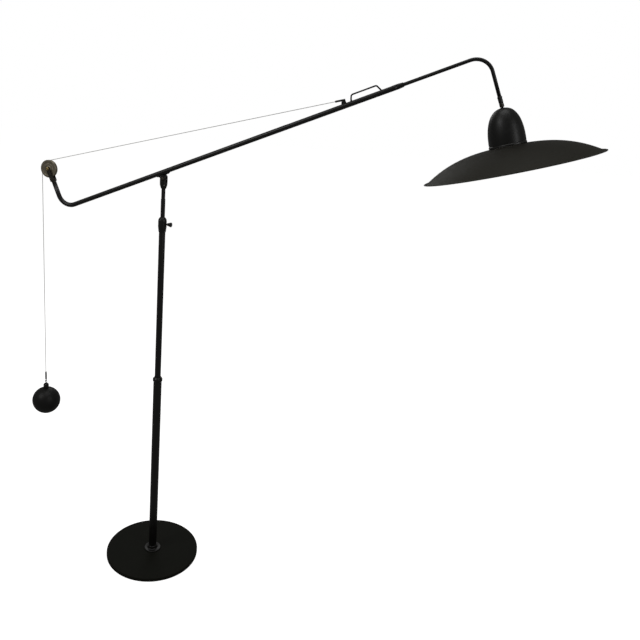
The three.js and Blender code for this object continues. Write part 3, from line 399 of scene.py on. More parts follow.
# makes an object of a mesh, sets its finish, and gives it to its body in place of the CAD nodes
def piece(name, mesh, material, body, nodes, place=None, sharp=34, wall=0, lining=None):
    if place is not None:
        bmesh.ops.transform(mesh, matrix=place, verts=mesh.verts)
    for face in mesh.faces:
        face.smooth = True
    for edge in mesh.edges:
        if len(edge.link_faces) == 2 and edge.calc_face_angle(0) > radians(sharp):
            edge.smooth = False
    data = bpy.data.meshes.new(name)
    mesh.to_mesh(data)
    mesh.free()
    data.materials.append(material)
    if lining is not None:
        data.materials.append(lining)
    made = bpy.data.objects.new(name, data)
    bpy.context.collection.objects.link(made)
    if wall:
        skin = made.modifiers.new("wall", "SOLIDIFY")
        skin.thickness = wall
        skin.offset = -1
        skin.use_even_offset = False
    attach(made, body)
    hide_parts(*nodes)
    return made


# a copy of a CAD node with its triangles merged, its edges softened and its faces smooth
def refined(node, material, body, edge=0.0004, segments=2):
    mesh = bmesh.new()
    mesh.from_mesh(frame["nodes"][node].data)
    bmesh.ops.remove_doubles(mesh, verts=mesh.verts, dist=2e-6)
    bmesh.ops.dissolve_limit(mesh, angle_limit=radians(1.2), verts=mesh.verts, edges=mesh.edges)
    made = piece(node + "_fine", mesh, material, body, [node], sharp=30)
    soft = made.modifiers.new("edges", "BEVEL")
    soft.width = edge
    soft.segments = segments
    soft.limit_method = "ANGLE"
    soft.angle_limit = radians(30)
    return made


def bodyOf(node):
    for name, nodes in frame["record"]["behaviour"]["bodies"].items():
        if node in nodes:
            return name


# places shared by the pieces, as in the CAD
arm = dict(slope=radians(23.1), height=1.4826305, rear=0.420, pulleyRise=0.1464, leg=1.0625, jointDrop=0.150,
           ballDrop=0.897, shadeLean=radians(17.1))
cordLine = dict(radius=0.001, pitch=0.028, anchorEnd=0.6156, anchorRise=0.0215, anchorDepth=0.008,
                straightPoints=40, wrapSteps=18)

armPlace = Matrix.Translation((0, 0, arm["height"])) @ Matrix.Rotation(-arm["slope"], 4, "Y")
pulleyCentre = armPlace @ Vector((-arm["rear"], 0, arm["pulleyRise"]))
jointCentre = armPlace @ Vector((arm["leg"], 0, -arm["jointDrop"]))
shadePlace = Matrix.Translation(jointCentre) @ Matrix.Rotation(-arm["shadeLean"], 4, "Y")
legPlace = armPlace @ Matrix.Translation((arm["leg"], 0, -arm["jointDrop"]))
weightX = pulleyCentre.x - cordLine["pitch"]
ballHeight = pulleyCentre.z - arm["ballDrop"]
shadeTurn = (0, -arm["shadeLean"], 0)

black = lacquer("black_lacquer", (0.0115, 0.0110, 0.0092), (0.0045, 0.0044, 0.0038), gloss=0.34)
blackFine = lacquer("black_lacquer_smooth", (0.0105, 0.0105, 0.0094), (0.0042, 0.0042, 0.0038),
                    gloss=0.42, peel=0.00008, shine=0.42)
cast = castFinish("cast_black", (0.0105, 0.0110, 0.0070), (0.0064, 0.0068, 0.0042),
                  rough=0.66, depth=0.00012, shine=0.16)
ballCast = castFinish("ball_black", (0.0105, 0.0104, 0.0092), (0.0055, 0.0055, 0.0049),
                      rough=0.46, depth=0.0001, shine=0.34)
shadeOlive = shadeFinish("shade_olive_black", tuple(jointCentre), shadeTurn)
enamel = enamelFinish("inside_enamel")
wheelMetal = turnedMetal("wheel_alloy", (0.46, 0.41, 0.31), (0.17, 0.15, 0.105), rough=0.34,
                         centre=tuple(pulleyCentre), plane="XZ")
brass = plainMetal("aged_brass", (0.62, 0.47, 0.20), (0.24, 0.17, 0.07), rough=0.26)
steel = plainMetal("bright_steel", (0.34, 0.33, 0.31), (0.13, 0.125, 0.11), rough=0.3)
darkSteel = plainMetal("dark_steel", (0.11, 0.102, 0.086), (0.028, 0.026, 0.022), rough=0.32)
capAlloy = plainMetal("cap_alloy", (0.62, 0.62, 0.61), (0.36, 0.35, 0.33), rough=0.3)
rubber = rubberFinish("black_rubber")
felt = feltFinish("grey_felt")
cordGrey = cordFinish("cord_braid")
opal = glassFinish("opal_glass")
holderPlastic = castFinish("holder_plastic", (0.012, 0.0115, 0.0105), (0.006, 0.006, 0.0055),
                           rough=0.42, depth=0.00004)
print("finishes ready")


# cords
def cordTube(name, points, node):
    curve = bpy.data.curves.new(name, "CURVE")
    curve.dimensions = "3D"
    curve.bevel_depth = cordLine["radius"]
    curve.bevel_resolution = 3
    curve.use_fill_caps = True
    spline = curve.splines.new("POLY")
    spline.points.add(len(points) - 1)
    for point, at in zip(spline.points, points):
        point.co = (*at, 1)
    source = bpy.data.objects.new(name + "_line", curve)
    bpy.context.collection.objects.link(source)
    data = bpy.data.meshes.new_from_object(source.evaluated_get(bpy.context.evaluated_depsgraph_get()))
    bpy.data.objects.remove(source)
    data.name = name
    data.materials.clear()
    data.materials.append(cordGrey)
    data.shade_smooth()
    made = bpy.data.objects.new(name, data)
    bpy.context.collection.objects.link(made)
    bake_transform(made)
    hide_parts(node)


def between(a, b):
    last = cordLine["straightPoints"] - 1
    return [tuple(Vector(a).lerp(Vector(b), i / last)) for i in range(last + 1)]


def wrapPoint(share):
    angle = topAngle + (pi - topAngle) * share
    return tuple(pulleyCentre + Vector((cos(angle), 0, sin(angle))) * cordLine["pitch"])


# the run is a tangent from the wheel's groove to the anchor, in the arm's own frame
pitch = cordLine["pitch"]
rise = cordLine["anchorRise"] - arm["pulleyRise"]
reach = cordLine["anchorEnd"] + arm["rear"]
runHeading = atan2(rise, reach) - atan2(pitch, sqrt(rise ** 2 + reach ** 2 - pitch ** 2))
leave = Vector((-arm["rear"] - pitch * sin(runHeading), 0, arm["pulleyRise"] + pitch * cos(runHeading)))
arrive = Vector((cordLine["anchorEnd"] + cordLine["anchorDepth"] * cos(runHeading), 0,
                 cordLine["anchorRise"] + cordLine["anchorDepth"] * sin(runHeading)))
topAngle = pi / 2 + runHeading + arm["slope"]
wrapPoints = [wrapPoint(step / cordLine["wrapSteps"]) for step in range(cordLine["wrapSteps"] + 1)]
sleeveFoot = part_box("cord_sleeve")[0][2]
cordTube("cord_run_line", between(armPlace @ leave, armPlace @ arrive), "cord_run")
cordTube("cord_wrap_line", wrapPoints, "cord_wrap")
cordTube("cord_drop_line", between((weightX, 0, pulleyCentre.z), (weightX, 0, sleeveFoot)),
         "cord_drop")
print("cords made")

# base and mast
baseSize = dict(radius=0.175, bottom=0.002, top=0.016, edge=0.0032, recess=0.017, recessDepth=0.008, bolt=0.0064)
flangeSize = dict(bottom=0.0163, top=0.0203, radius=0.031, neck=0.0185, neckTop=0.0323, socket=0.0153, seat=0.018)
padSize = dict(inset=0.003, thick=0.0017)
tubeSize = dict(lowRadius=0.015, lowWall=0.002, lowBottom=0.0183, lowTop=0.7213,
                midRadius=0.011, midWall=0.0015, midBottom=0.6666, midTop=1.3126)
rodSize = dict(radius=0.0075, bore=0.004, spigot=0.0066, neck=1.3916, groove=1.4386, grooveRadius=0.0055,
               grooveHalf=0.0023)
reducerSize = dict(bore=0.0113, low=0.7216, high=0.7411, skirt=0.0127, skirtLength=0.022, seat=0.0150, lip=0.0154,
                   belly=0.0174, shoulder=0.0134, neck=0.0126)
collarSize = dict(bore=0.0113, low=1.2776, high=1.3281, skirt=0.0119, flare=0.0125, belly=0.0146, shoulder=0.0134,
                  crown=0.0094, rodHole=0.0079, seat=0.0152)
knobSize = dict(height=1.3056, start=0.0079, tip=0.0022, shank=0.003, washer=0.0050, waist=0.0052, root=0.0056,
                grip=0.0078, crown=0.0082, flutes=12, fluteDepth=0.055)


def makeBase():
    s = baseSize
    outline = rounded([
        (s["bolt"], s["bottom"] + s["recessDepth"]),
        (s["recess"], s["bottom"] + s["recessDepth"], 0.0005),
        (s["recess"], s["bottom"], 0.0005),
        (s["radius"], s["bottom"], 0.0012),
        (s["radius"], s["top"], s["edge"]),
        (0.06, s["top"]),
        (s["bolt"], s["top"])], 6)
    piece("base_disc", spun(outline, 160), cast, "stand", ["base_plate"], sharp=40)
    rim, thick = s["radius"] - padSize["inset"], padSize["thick"]
    pad = rounded([(0, 0), (rim, 0, 0.0004), (rim, thick, 0.0004), (0, thick)])
    piece("base_felt_pad", turnedSolid(pad, 128), felt, "stand", ["base_felt"])
    f = flangeSize
    outline = rounded([
        (s["bolt"], f["bottom"]),
        (f["radius"], f["bottom"], 0.0003),
        (f["radius"], f["top"], 0.0016),
        (f["neck"], f["top"] + 0.0004, 0.003),
        (f["neck"], f["neckTop"], 0.0018),
        (f["socket"], f["neckTop"], 0.0004),
        (f["socket"], f["seat"]),
        (s["bolt"], f["seat"])], 5)
    piece("base_socket", spun(outline, 96), black, "stand", ["base_flange"])


def makeTubes():
    t = tubeSize
    inner = t["lowRadius"] - t["lowWall"]
    outline = rounded([(inner, t["lowBottom"]), (t["lowRadius"], t["lowBottom"], 0.0003),
                       (t["lowRadius"], t["lowTop"], 0.0003), (inner, t["lowTop"])])
    piece("lower_mast", spun(outline, 72), black, "stand", ["lower_tube"])
    inner = t["midRadius"] - t["midWall"]
    outline = rounded([(inner, t["midBottom"]), (t["midRadius"], t["midBottom"], 0.0003),
                       (t["midRadius"], t["midTop"], 0.0003), (inner, t["midTop"])])
    piece("middle_mast", spun(outline, 64), black, "stand", ["middle_tube"])
    r = rodSize
    bottom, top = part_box("mast_rod")[0][2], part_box("mast_rod")[1][2]
    low, high = r["groove"] - r["grooveHalf"], r["groove"] + r["grooveHalf"]
    outline = rounded([
        (r["bore"], bottom),
        (r["radius"], bottom, 0.0004),
        (r["radius"], r["neck"] - 0.0008, 0.0003),
        (r["spigot"], r["neck"], 0.0002),
        (r["spigot"], low, 0.0002),
        (r["grooveRadius"], low, 0.0002),
        (r["grooveRadius"], high, 0.0002),
        (r["spigot"], high, 0.0002),
        (r["spigot"], top, 0.0008),
        (r["bore"], top)], 3)
    piece("sliding_rod", spun(outline, 56), blackFine, "mast", ["mast_rod"])


def makeReducer():
    s = reducerSize
    low, high = s["low"], s["high"]
    outline = rounded([
        (s["bore"], low - s["skirtLength"]),
        (s["skirt"], low - s["skirtLength"], 0.0003),
        (s["skirt"], low),
        (s["seat"], low, 0.0004),
        (s["lip"], low + 0.0022, 0.0004),
        (s["belly"], low + 0.0052, 0.0022),
        (s["belly"], low + 0.0128, 0.0026),
        (s["shoulder"], high - 0.0015, 0.0012),
        (s["neck"], high, 0.0005),
        (s["bore"], high, 0.0002)], 5)
    piece("reducer_collar", spun(outline, 80), black, "stand", ["reducer_ring"], sharp=50)


def makeCollar():
    s = collarSize
    low, high = s["low"], s["high"]
    outline = rounded([
        (s["bore"], low),
        (s["skirt"], low, 0.0003),
        (s["flare"], low + 0.0012, 0.0005),
        (s["belly"], low + 0.018, 0.006),
        (s["belly"], high - 0.0115, 0.0015),
        (s["shoulder"], high - 0.0058, 0.003),
        (s["crown"], high, 0.0012),
        (s["rodHole"], high, 0.0003),
        (s["rodHole"], high - s["seat"]),
        (s["bore"], high - s["seat"])], 5)
    piece("clamp_collar", spun(outline, 80), black, "stand", ["upper_collar"], sharp=50)
    k = knobSize
    knob = rounded([
        (0, k["start"]),
        (k["tip"], k["start"], 0.0003),
        (k["shank"], k["start"] + 0.0013, 0.0004),
        (k["shank"], 0.0186, 0.0006),
        (k["washer"], 0.0192, 0.0006),
        (k["waist"], 0.0212, 0.0008),
        (k["root"], 0.0232, 0.002),
        (k["grip"], 0.0296, 0.002),
        (k["crown"], 0.0322, 0.001),
        (0.0072, 0.0341, 0.0012),
        (0.003, 0.0343, 0.001),
        (0, 0.0340)], 4)
    mesh = turnedSolid(knob, 72)
    for vert in mesh.verts:  # shallow flutes round the grip
        if vert.co.z > 0.0228 and hypot(vert.co.x, vert.co.y) > 0.0054:
            around = cos(k["flutes"] * atan2(vert.co.y, vert.co.x))
            dip = 1 - k["fluteDepth"] * max(0, around) ** 2
            vert.co.x *= dip
            vert.co.y *= dip
    place = Matrix.Translation((0, 0, k["height"])) @ Matrix.Rotation(pi / 2, 4, "Y")
    piece("clamp_knob", mesh, black, "clamp", ["clamp_screw"], place=place)


makeBase()
makeTubes()
makeReducer()
makeCollar()
print("stand made")

# head, saddle, forks and small fittings keep their CAD shapes, with softened edges
for node, finish, slot, edge in (
        ("head_fork", black, "black_lacquer", 0.0007), ("arm_saddle", black, "black_lacquer", 0.0007),
        ("pulley_fork", darkSteel, "dark_steel", 0.0006), ("cord_anchor", black, "black_lacquer", 0.0005),
        ("pivot_bolt", darkSteel, "dark_steel", 0.0003), ("pivot_nut", darkSteel, "dark_steel", 0.0003),
        ("pivot_washer_front", darkSteel, "dark_steel", 0.0002),
        ("pivot_washer_back", darkSteel, "dark_steel", 0.0002),
        ("axle_nut", brass, "brass", 0.0003), ("stem_nut", steel, "bright_steel", 0.0003),
        ("cable_grommet", rubber, "rubber", 0.0004), ("lamp_holder", holderPlastic, "holder_plastic", 0.0008),
        ("head_set_screw", steel, "bright_steel", 0.0002), ("ball_eye", darkSteel, "bright_steel", 0.0001),
        ("socket_shell", brass, "brass", 0.0001), ("base_bolt", steel, "bright_steel", 0.0003)):
    refined(node, finish, bodyOf(node), edge)
# hidden bushes, washers and contacts only get their metal
for node, finish in (("base_washer", steel), ("tube_plug", steel), ("rod_bush", brass), ("glide_bush", brass),
                     ("pulley_bush", brass), ("centre_contact", brass), ("cord_loop", rubber)):
    data = frame["nodes"][node].data
    data.materials.clear()
    data.materials.append(finish)
print("fittings made")

# arm
tubeArm = dict(radius=0.008, wall=0.0015, bend=0.048, leg=0.096, front=0.803, sides=48,
               slotRear=0.450, slotFront=0.788, slotHalfSides=3)
noseSize = dict(bore=0.00565, spigot=0.0062, spigotLength=0.013, collar=0.0080, tip=0.0068, length=0.018,
                gap=0.0003)
tubeFront = dict(radius=0.00525, wall=0.0012, rear=0.600, bend=0.050, legLength=0.138)
handleSize = dict(wire=0.0024, foot=0.00555, rear=0.661, length=0.095, high=0.0245, leanRear=0.0065,
                  leanFront=0.010, corner=0.007, block=(0.0066, 0.0041, 0.0105))
wheelSize = dict(half=0.006, rim=0.031, floor=0.0267, bore=0.0053,
                 face=((0.009, 0, 0.0006), (0.0098, 0.0019, 0.0004), (0.0135, 0.0021, 0.0004),
                       (0.0142, 0.0011, 0.0003), (0.0164, 0.0011, 0.0003), (0.0171, 0.0021, 0.0004),
                       (0.0226, 0.0021, 0.0006), (0.0242, 0.0004, 0.0006), (0.0302, 0.0004, 0.0006)))
axleSize = dict(radius=0.003, head=0.0064, headDepth=0.0046)


def makeArmTube():
    s = tubeArm
    moves = [(s["leg"] - s["bend"],), (s["bend"], pi / 2), (s["slotRear"] + arm["rear"] - s["bend"],),
             (s["slotFront"] - s["slotRear"],), (s["front"] - s["slotFront"],)]
    mesh = bentTube((-arm["rear"], 0, s["leg"]), -pi / 2, s["radius"], moves, sides=s["sides"], wall=s["wall"],
                    bendSteps=24)
    width = sin(s["slotHalfSides"] * 2 * pi / s["sides"]) * s["radius"]
    gone = []
    for face in mesh.faces:
        centre = face.calc_center_median()
        if s["slotRear"] < centre.x < s["slotFront"] and centre.z > 0 and abs(centre.y) < width:
            gone.append(face)
    bmesh.ops.delete(mesh, geom=gone, context="FACES")
    piece("main_arm", mesh, black, "arm", ["arm_tube"], place=armPlace, wall=s["wall"])
    n = noseSize
    start = s["front"] + n["gap"]
    nose = rounded([
        (n["bore"], start - n["spigotLength"]),
        (n["spigot"], start - n["spigotLength"], 0.0003),
        (n["spigot"], start),
        (n["collar"], start, 0.0004),
        (n["collar"], start + 0.0022, 0.001),
        (n["tip"], start + n["length"], 0.0006),
        (n["bore"], start + n["length"], 0.0002)], 4)
    place = armPlace @ Matrix.Rotation(pi / 2, 4, "Y")
    piece("arm_end_bush", spun(nose, 56), blackFine, "arm", ["arm_nose"], place=place)


def makeFrontTube():
    s = tubeFront
    moves = [(arm["leg"] - s["bend"] - s["rear"],), (s["bend"], -pi / 2), (s["legLength"] - s["bend"],)]
    mesh = bentTube((s["rear"], 0, 0), 0, s["radius"], moves, sides=40, wall=s["wall"], bendSteps=24)
    piece("sliding_arm", mesh, blackFine, "carriage", ["front_tube"], place=armPlace,
          wall=s["wall"])


def makeHandle():
    s = handleSize
    rear, foot, corner = s["rear"], s["foot"], s["corner"]
    up = s["high"] - foot
    first = atan2(up, s["leanRear"])
    last = -atan2(up, s["leanFront"])
    setbackRear, setbackFront = corner * tan(first / 2), corner * tan(-last / 2)
    level = s["length"] - s["leanRear"] - s["leanFront"] - setbackRear - setbackFront
    moves = [(hypot(up, s["leanRear"]) - setbackRear,), (corner, -first), (level,), (corner, last),
             (hypot(up, s["leanFront"]) - setbackFront,)]
    mesh = bentTube((rear, 0, foot), first, s["wire"], moves, sides=28, bendSteps=10)
    block = bmesh.ops.create_cube(mesh, size=1)["verts"]  # the clip that holds the wire's rear foot
    bmesh.ops.scale(mesh, verts=block, vec=s["block"])
    bmesh.ops.translate(mesh, verts=block, vec=(rear + 0.0016, 0, foot + 0.0053))
    for vert in block:
        if vert.co.z > foot + 0.005:
            vert.co.x += (rear + 0.0029 - vert.co.x) * 0.55
    edges = list({e for v in block for e in v.link_edges})
    bmesh.ops.bevel(mesh, geom=edges, offset=0.0009, affect="EDGES", segments=3, profile=0.5, material=-1)
    piece("pull_wire", mesh, blackFine, "carriage", ["pull_handle"], place=armPlace)


def makePulley():
    s = wheelSize
    half, rim, floor = s["half"], s["rim"], s["floor"]
    side = [(radius, deep - half, corner) for radius, deep, corner in s["face"]]
    side += [(rim, -0.0046, 0.0004), (rim, -0.0038, 0.0003), (floor, -0.0015, 0.0008)]
    mirrored = [(radius, -height, corner) for radius, height, corner in reversed(side)]
    outline = rounded([(s["bore"], -half), *side, *mirrored, (s["bore"], half)], 3)
    place = Matrix.Translation(pulleyCentre) @ Matrix.Rotation(-pi / 2, 4, "X")
    piece("cord_wheel", spun(outline, 112), wheelMetal, "pulley", ["pulley_wheel"], place=place)
    a = axleSize
    low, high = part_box("pulley_axle")[0][1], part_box("pulley_axle")[1][1]
    pin = rounded([
        (0, low),
        (0.0016, low, 0.0004),
        (0.0020, low + 0.0007, 0.0003),
        (0.0032, low + 0.0004, 0.0006),
        (0.0057, low + 0.0022, 0.0014),
        (a["head"], low + a["headDepth"], 0.0004),
        (a["radius"], low + a["headDepth"]),
        (a["radius"], high, 0.0006),
        (0, high)], 4)
    piece("wheel_axle", turnedSolid(pin, 48), brass, "arm", ["pulley_axle"], place=place)


makeArmTube()
makeFrontTube()
makeHandle()
makePulley()
print("arm made")


# hanging ball
ballSize = dict(radius=0.052, seat=0.046, hole=0.0102, rings=72)
capSize = dict(low=0.0463, top=0.066, radius=0.0099, groove=0.0608, grooveRadius=0.0095, hole=0.0014)
sleeveSize = dict(hole=0.0013, tail=0.0023, body=0.0031, tip=0.0019)


def makeWeight():
    place = Matrix.Translation((weightX, 0, ballHeight))
    s = ballSize
    radius, seat, hole = s["radius"], s["seat"], s["hole"]
    start = atan2(sqrt(radius ** 2 - hole ** 2), hole)
    angles = [start - (start + pi / 2) * i / s["rings"] for i in range(s["rings"])]
    arc = [(radius * cos(angle), radius * sin(angle)) for angle in angles]
    outline = [(0, seat), (hole - 0.0008, seat), (hole, seat + 0.0008), *arc, (0, -radius)]
    piece("ball_cast", turnedSolid(outline, 96), ballCast, "weight", ["counterweight_ball"],
          place=place)
    c = capSize
    low, top, groove = c["low"], c["top"], c["groove"]
    cap = rounded([
        (0, low),
        (c["radius"], low, 0.0004),
        (c["radius"], groove, 0.0006),
        (c["grooveRadius"], groove + 0.0006, 0.0003),
        (c["radius"], groove + 0.0012, 0.0003),
        (c["radius"], top - 0.0004, 0.0012),
        (0.0074, top + 0.0030, 0.003),
        (0.0024, top + 0.0058, 0.0008),
        (c["hole"], top + 0.0060, 0.0002),
        (c["hole"], top - 0.0020),
        (0, top - 0.0020)], 4)
    piece("ball_ferrule", turnedSolid(cap, 64), black, "weight", ["ball_cap"], place=place)
    t = sleeveSize
    foot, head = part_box("cord_sleeve")[0][2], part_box("cord_sleeve")[1][2]
    sleeve = rounded([
        (t["hole"], foot),
        (t["tail"], foot, 0.0003),
        (t["body"], foot + 0.002, 0.001),
        (t["body"], head - 0.0032, 0.0015),
        (t["tip"], head, 0.0004),
        (t["hole"], head)], 4)
    piece("cord_grip", spun(sleeve, 40), rubber, "weight", ["cord_sleeve"],
          place=Matrix.Translation((weightX, 0, 0)))


makeWeight()
print("weight made")

# joint and shade
legEndSize = dict(bore=0.0036, low=0.0083, body=0.0063, beadLow=0.0235, bead=0.0068, top=0.028, seat=0.0117)
swivelSize = dict(cavity=0.005, below=0.003, cup=0.0063, collar=0.0057, peg=0.0031, top=0.0113)
studSize = dict(ball=0.0047, neck=0.0022, cone=0.0062, shank=0.0046, length=0.020, neckAngle=0.487)
shadeSize = dict(rimDrop=0.177, rim=0.2477, bowl=0.240, height=0.063, lip=0.0016, curve=2.75, hole=0.044,
                 wall=0.0013, rings=40)
domeSize = dict(radius=0.051, height=0.100, wall=0.0016, apex=-0.0047, hole=0.005, blunt=2.4, rings=32)
bandSize = dict(height=0.0074, gap=0.0003, low=0.0515, belly=0.0522, high=0.0517, top=0.0504)


def makeJoint():
    s = legEndSize
    ferrule = rounded([
        (s["bore"], s["low"]),
        (0.0058, s["low"], 0.0004),
        (s["body"], s["low"] + 0.001, 0.0004),
        (s["body"], s["beadLow"], 0.0008),
        (s["bead"], s["beadLow"] + 0.0008, 0.0003),
        (s["bead"], s["beadLow"] + 0.0027, 0.0005),
        (0.0058, s["top"], 0.0006),
        (0.00555, s["top"]),
        (0.00555, s["seat"]),
        (s["bore"], s["seat"])], 4)
    piece("leg_end", spun(ferrule, 56), black, "carriage", ["leg_ferrule"], place=legPlace)
    w = swivelSize
    cavity, below, cup = w["cavity"], w["below"], w["cup"]
    mouth = sqrt(cavity ** 2 - below ** 2)
    start = atan2(-below, mouth)
    angles = [start + (pi / 2 - start) * i / 12 for i in range(1, 12)]
    hollow = [(cavity * cos(angle), cavity * sin(angle)) for angle in angles]
    shell = rounded([
        (0, w["top"]),
        (w["peg"], w["top"], 0.0004),
        (w["peg"], 0.008),
        (w["collar"], 0.008, 0.0006),
        (cup, 0.007, 0.0006),
        (cup, -0.0011, 0.0006),  # the mouth is cut back so that the stud's cone clears it
        (0.0045, -below, 0.0002),
        (mouth, -below)], 4)
    piece("swivel_shell", turnedSolid([*shell, *hollow, (0, cavity)], 56), darkSteel, "swivel", ["swivel_cup"],
          place=legPlace)


# how far the dome's outside has dropped below its apex at a radius
def domeFall(radius):
    across = (radius / domeSize["radius"]) ** domeSize["blunt"]
    return domeSize["height"] * (1 - (1 - across) ** (1 / domeSize["blunt"]))


def makeStud():
    s = studSize
    ball, neck, cone, shank = s["ball"], s["neck"], s["cone"], s["shank"]
    top = domeSize["apex"] + 0.0003 - domeFall(cone)
    swing = pi - s["neckAngle"]
    angles = [pi / 2 - swing * i / 20 for i in range(1, 21)]
    arc = [(ball * cos(angle), ball * sin(angle)) for angle in angles]
    outline = [(0, ball), *arc, *rounded([
        (neck, -ball - 0.0003),
        (cone, top + 0.0006, 0.0003),
        (cone, top, 0.0002),
        (shank, top),
        (shank, top - s["length"], 0.0005),
        (0, top - s["length"])], 3)]
    piece("shade_stud", turnedSolid(outline, 48), black, "shade", ["ball_stud"], place=shadePlace)


# height of the reflector's outside above its rim plane at a radius
def bowlHeight(radius):
    s = shadeSize
    return s["lip"] + s["height"] * (1 - (radius / s["bowl"]) ** s["curve"])


def makeDome():
    d = domeSize
    foot = d["apex"] - d["height"]
    power = 2 / d["blunt"]
    first = asin((d["hole"] / d["radius"]) ** (1 / power))
    outside, inside = [], []
    for i in range(d["rings"] + 1):
        angle = first + (pi / 2 - first) * i / d["rings"]
        across, up = sin(angle) ** power, max(0, cos(angle)) ** power
        outside.append((d["radius"] * across, foot + d["height"] * up))
        inner = max((d["radius"] - d["wall"]) * across, d["hole"])
        inside.append((inner, foot + (d["height"] - d["wall"]) * up))
    piece("shade_crown", spun([*outside, *reversed(inside)], 112), blackFine, "shade", ["shade_dome"],
          place=shadePlace)
    b = bandSize
    bore, high = shadeSize["hole"], foot - b["gap"]
    low = high - b["height"]
    band = rounded([
        (bore, low),
        (b["low"], low, 0.0003),
        (b["belly"], low + 0.0012, 0.0008),
        (b["high"], low + 0.0050, 0.0012),
        (b["top"], low + 0.0066, 0.0006),
        (b["top"], high, 0.0003),
        (bore, high)], 4)
    piece("shade_band", spun(band, 112), black, "shade", ["shade_ring"], place=shadePlace)


def makeReflector():
    s = shadeSize
    plane = -s["rimDrop"]
    outer, under = [], []
    for i in range(s["rings"] + 1):
        radius = s["hole"] + (s["bowl"] - 0.001 - s["hole"]) * (i / s["rings"]) ** 0.85
        slope = (bowlHeight(radius - 0.0005) - bowlHeight(radius + 0.0005)) / 0.001
        thick = s["wall"] * sqrt(1 + slope * slope)
        thinnest = 0.0005 if i == s["rings"] else 0.0003
        outer.append((radius, plane + bowlHeight(radius)))
        under.append((radius, plane + max(bowlHeight(radius) - thick, thinnest)))
    rim, lip = s["rim"], plane + s["lip"]
    edge = rounded([
        outer[-1],
        (s["bowl"] + 0.0021, lip + 0.0001, 0.003),
        (rim - 0.0012, lip + 0.0009, 0.0008),
        (rim, lip + 0.0005, 0.0006),
        (rim, plane + 0.0006, 0.0006),
        (rim - 0.002, plane + 0.0002, 0.0006),
        (s["bowl"] + 0.002, plane + 0.0001, 0.001),
        under[-1]], 4)
    mesh = spun([*outer[:-1], *edge, *reversed(under[:-1])], 176)
    for face in mesh.faces:  # the lining is white, the outside and the rim are not
        centre = face.calc_center_median()
        distance = hypot(centre.x, centre.y)
        below = distance < s["bowl"] and centre.z < plane + bowlHeight(distance) - s["wall"] * 0.5
        face.material_index = 1 if below and face.normal.z < 0.2 else 0
    piece("shade_bowl", mesh, shadeOlive, "shade", ["shade_reflector"], place=shadePlace,
          sharp=60, lining=enamel)


holderSize = dict(nutRadius=0.0086, seat=0.0008, nut=0.005, gap=0.0003, length=0.056, capDepth=0.036,
                  contact=0.0026)
bulbSize = dict(cap=0.0129, capLength=0.025, ribs=10, ribPitch=0.00155, ribDepth=0.0009, length=0.104,
                radius=0.030, neck=0.0122, shoulder=radians(38))


def makeBulb():
    h, s = holderSize, bulbSize
    ceiling = domeSize["apex"] - domeSize["wall"] - domeFall(h["nutRadius"])
    top = ceiling - h["seat"] - h["nut"] - h["gap"] - h["length"] + h["capDepth"] - h["contact"]
    low = top - s["capLength"]
    ribs = [(s["cap"] - (s["ribDepth"] if i % 2 else 0), top - 0.0068 - i * s["ribPitch"], 0.0005)
            for i in range(s["ribs"])]
    outline = rounded([
        (0, top),
        (0.004, top, 0.0005),
        (0.0109, top - 0.004, 0.001),
        (s["cap"], top - 0.006, 0.0008),
        *ribs,
        (s["cap"], low, 0.0003),
        (0, low)], 3)
    piece("bulb_screw_cap", turnedSolid(outline, 64), capAlloy, "shade", ["bulb_cap"],
          place=shadePlace, sharp=60)
    radius, neck, start = s["radius"], s["neck"], s["shoulder"]
    centre, high = top - s["length"] + radius, low - h["gap"]
    flareRadius, flareHeight = radius * cos(start), centre + radius * sin(start)
    outer = [(0, high), (neck, high)]
    for i in range(1, 16):  # the neck eases out into the globe
        share = i / 16
        ease = share * share * (3 - 2 * share)
        outer.append((neck + (flareRadius - neck) * ease, high + (flareHeight - high) * share))
    for i in range(32):
        angle = start - (start + pi / 2) * i / 32
        outer.append((radius * cos(angle), centre + radius * sin(angle)))
    outer.append((0, centre - radius))
    piece("bulb_globe", turnedSolid(outer, 80), opal, "shade", ["bulb_glass"], place=shadePlace,
          sharp=60)


makeJoint()
makeStud()
makeDome()
makeReflector()
makeBulb()
print("shade made")

# floor and light
studio = dict(world=0.13, floorGlow=0.9, wallGlow=1.0, wallRadius=45,
              lamps=(("key", (-1.9, -2.6, 3.6), (0.1, 0, 1.1), (1.6, 2.0), 27),
                     ("side", (3.6, -1.8, 2.6), (0.7, 0, 1.4), (1.0, 2.2), 14),
                     ("back", (-1.2, 2.8, 3.0), (0.1, 0, 1.2), (2.0, 1.4), 11),
                     ("top", (0.5, -0.2, 4.4), (0.4, 0, 1.0), (2.2, 1.6), 19)))


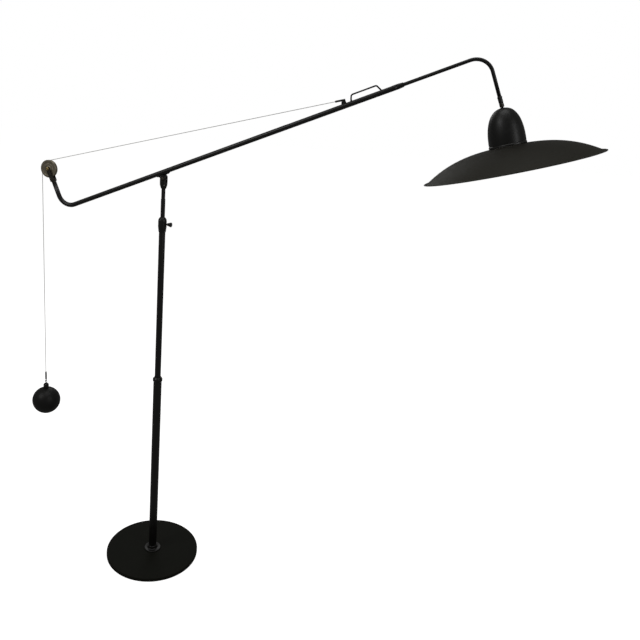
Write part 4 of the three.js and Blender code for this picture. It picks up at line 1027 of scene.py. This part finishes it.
# the floor and the backdrop are seen, but throw no light of their own on the lamp
def stageMesh(name, mesh, material):
    data = bpy.data.meshes.new(name)
    mesh.to_mesh(data)
    mesh.free()
    data.materials.append(material)
    data.shade_smooth()
    made = bpy.data.objects.new(name, data)
    bpy.context.collection.objects.link(made)
    made.visible_diffuse = False
    made.visible_glossy = False
    return made


def addFloor():
    paint = Finish("floor_paint", Roughness=0.8, Specular_IOR_Level=0.1, Emission_Color=(1, 1, 1, 1),
                   Emission_Strength=studio["floorGlow"])
    speckle = paint.noise(paint.place(), 3, 2, 0.5)
    paint.feed("Base Color", paint.blendColour(speckle, (0.80, 0.80, 0.795), (0.83, 0.83, 0.825)))
    mesh = bmesh.new()
    bmesh.ops.create_circle(mesh, cap_ends=True, segments=96, radius=studio["wallRadius"])
    stageMesh("floor", mesh, paint.material)
    glow = Finish("backdrop_paint", Base_Color=(0, 0, 0, 1), Roughness=1.0, Specular_IOR_Level=0,
                  Emission_Color=(1, 1, 1, 1), Emission_Strength=studio["wallGlow"])
    mesh = bmesh.new()
    bmesh.ops.create_uvsphere(mesh, u_segments=48, v_segments=24, radius=studio["wallRadius"])
    bmesh.ops.reverse_faces(mesh, faces=mesh.faces)
    wall = stageMesh("backdrop", mesh, glow.material)
    wall.visible_shadow = False


def addLight(name, place, target, size, power):
    data = bpy.data.lights.new(name, "AREA")
    data.energy = power
    data.shape = "RECTANGLE"
    data.size, data.size_y = size
    lamp = bpy.data.objects.new(name, data)
    lamp.location = place
    lamp.rotation_euler = (Vector(target) - Vector(place)).to_track_quat("-Z", "Y").to_euler()
    bpy.context.collection.objects.link(lamp)


def addWorld():
    world = bpy.data.worlds.new("studio")
    world.use_nodes = True
    world.node_tree.nodes["Background"].inputs["Color"].default_value = (1, 0.99, 0.97, 1)
    world.node_tree.nodes["Background"].inputs["Strength"].default_value = studio["world"]
    bpy.context.scene.world = world
    bpy.context.scene.view_settings.view_transform = "Standard"


addFloor()
for lamp in studio["lamps"]:
    addLight(*lamp)
addWorld()
print("floor and light made")
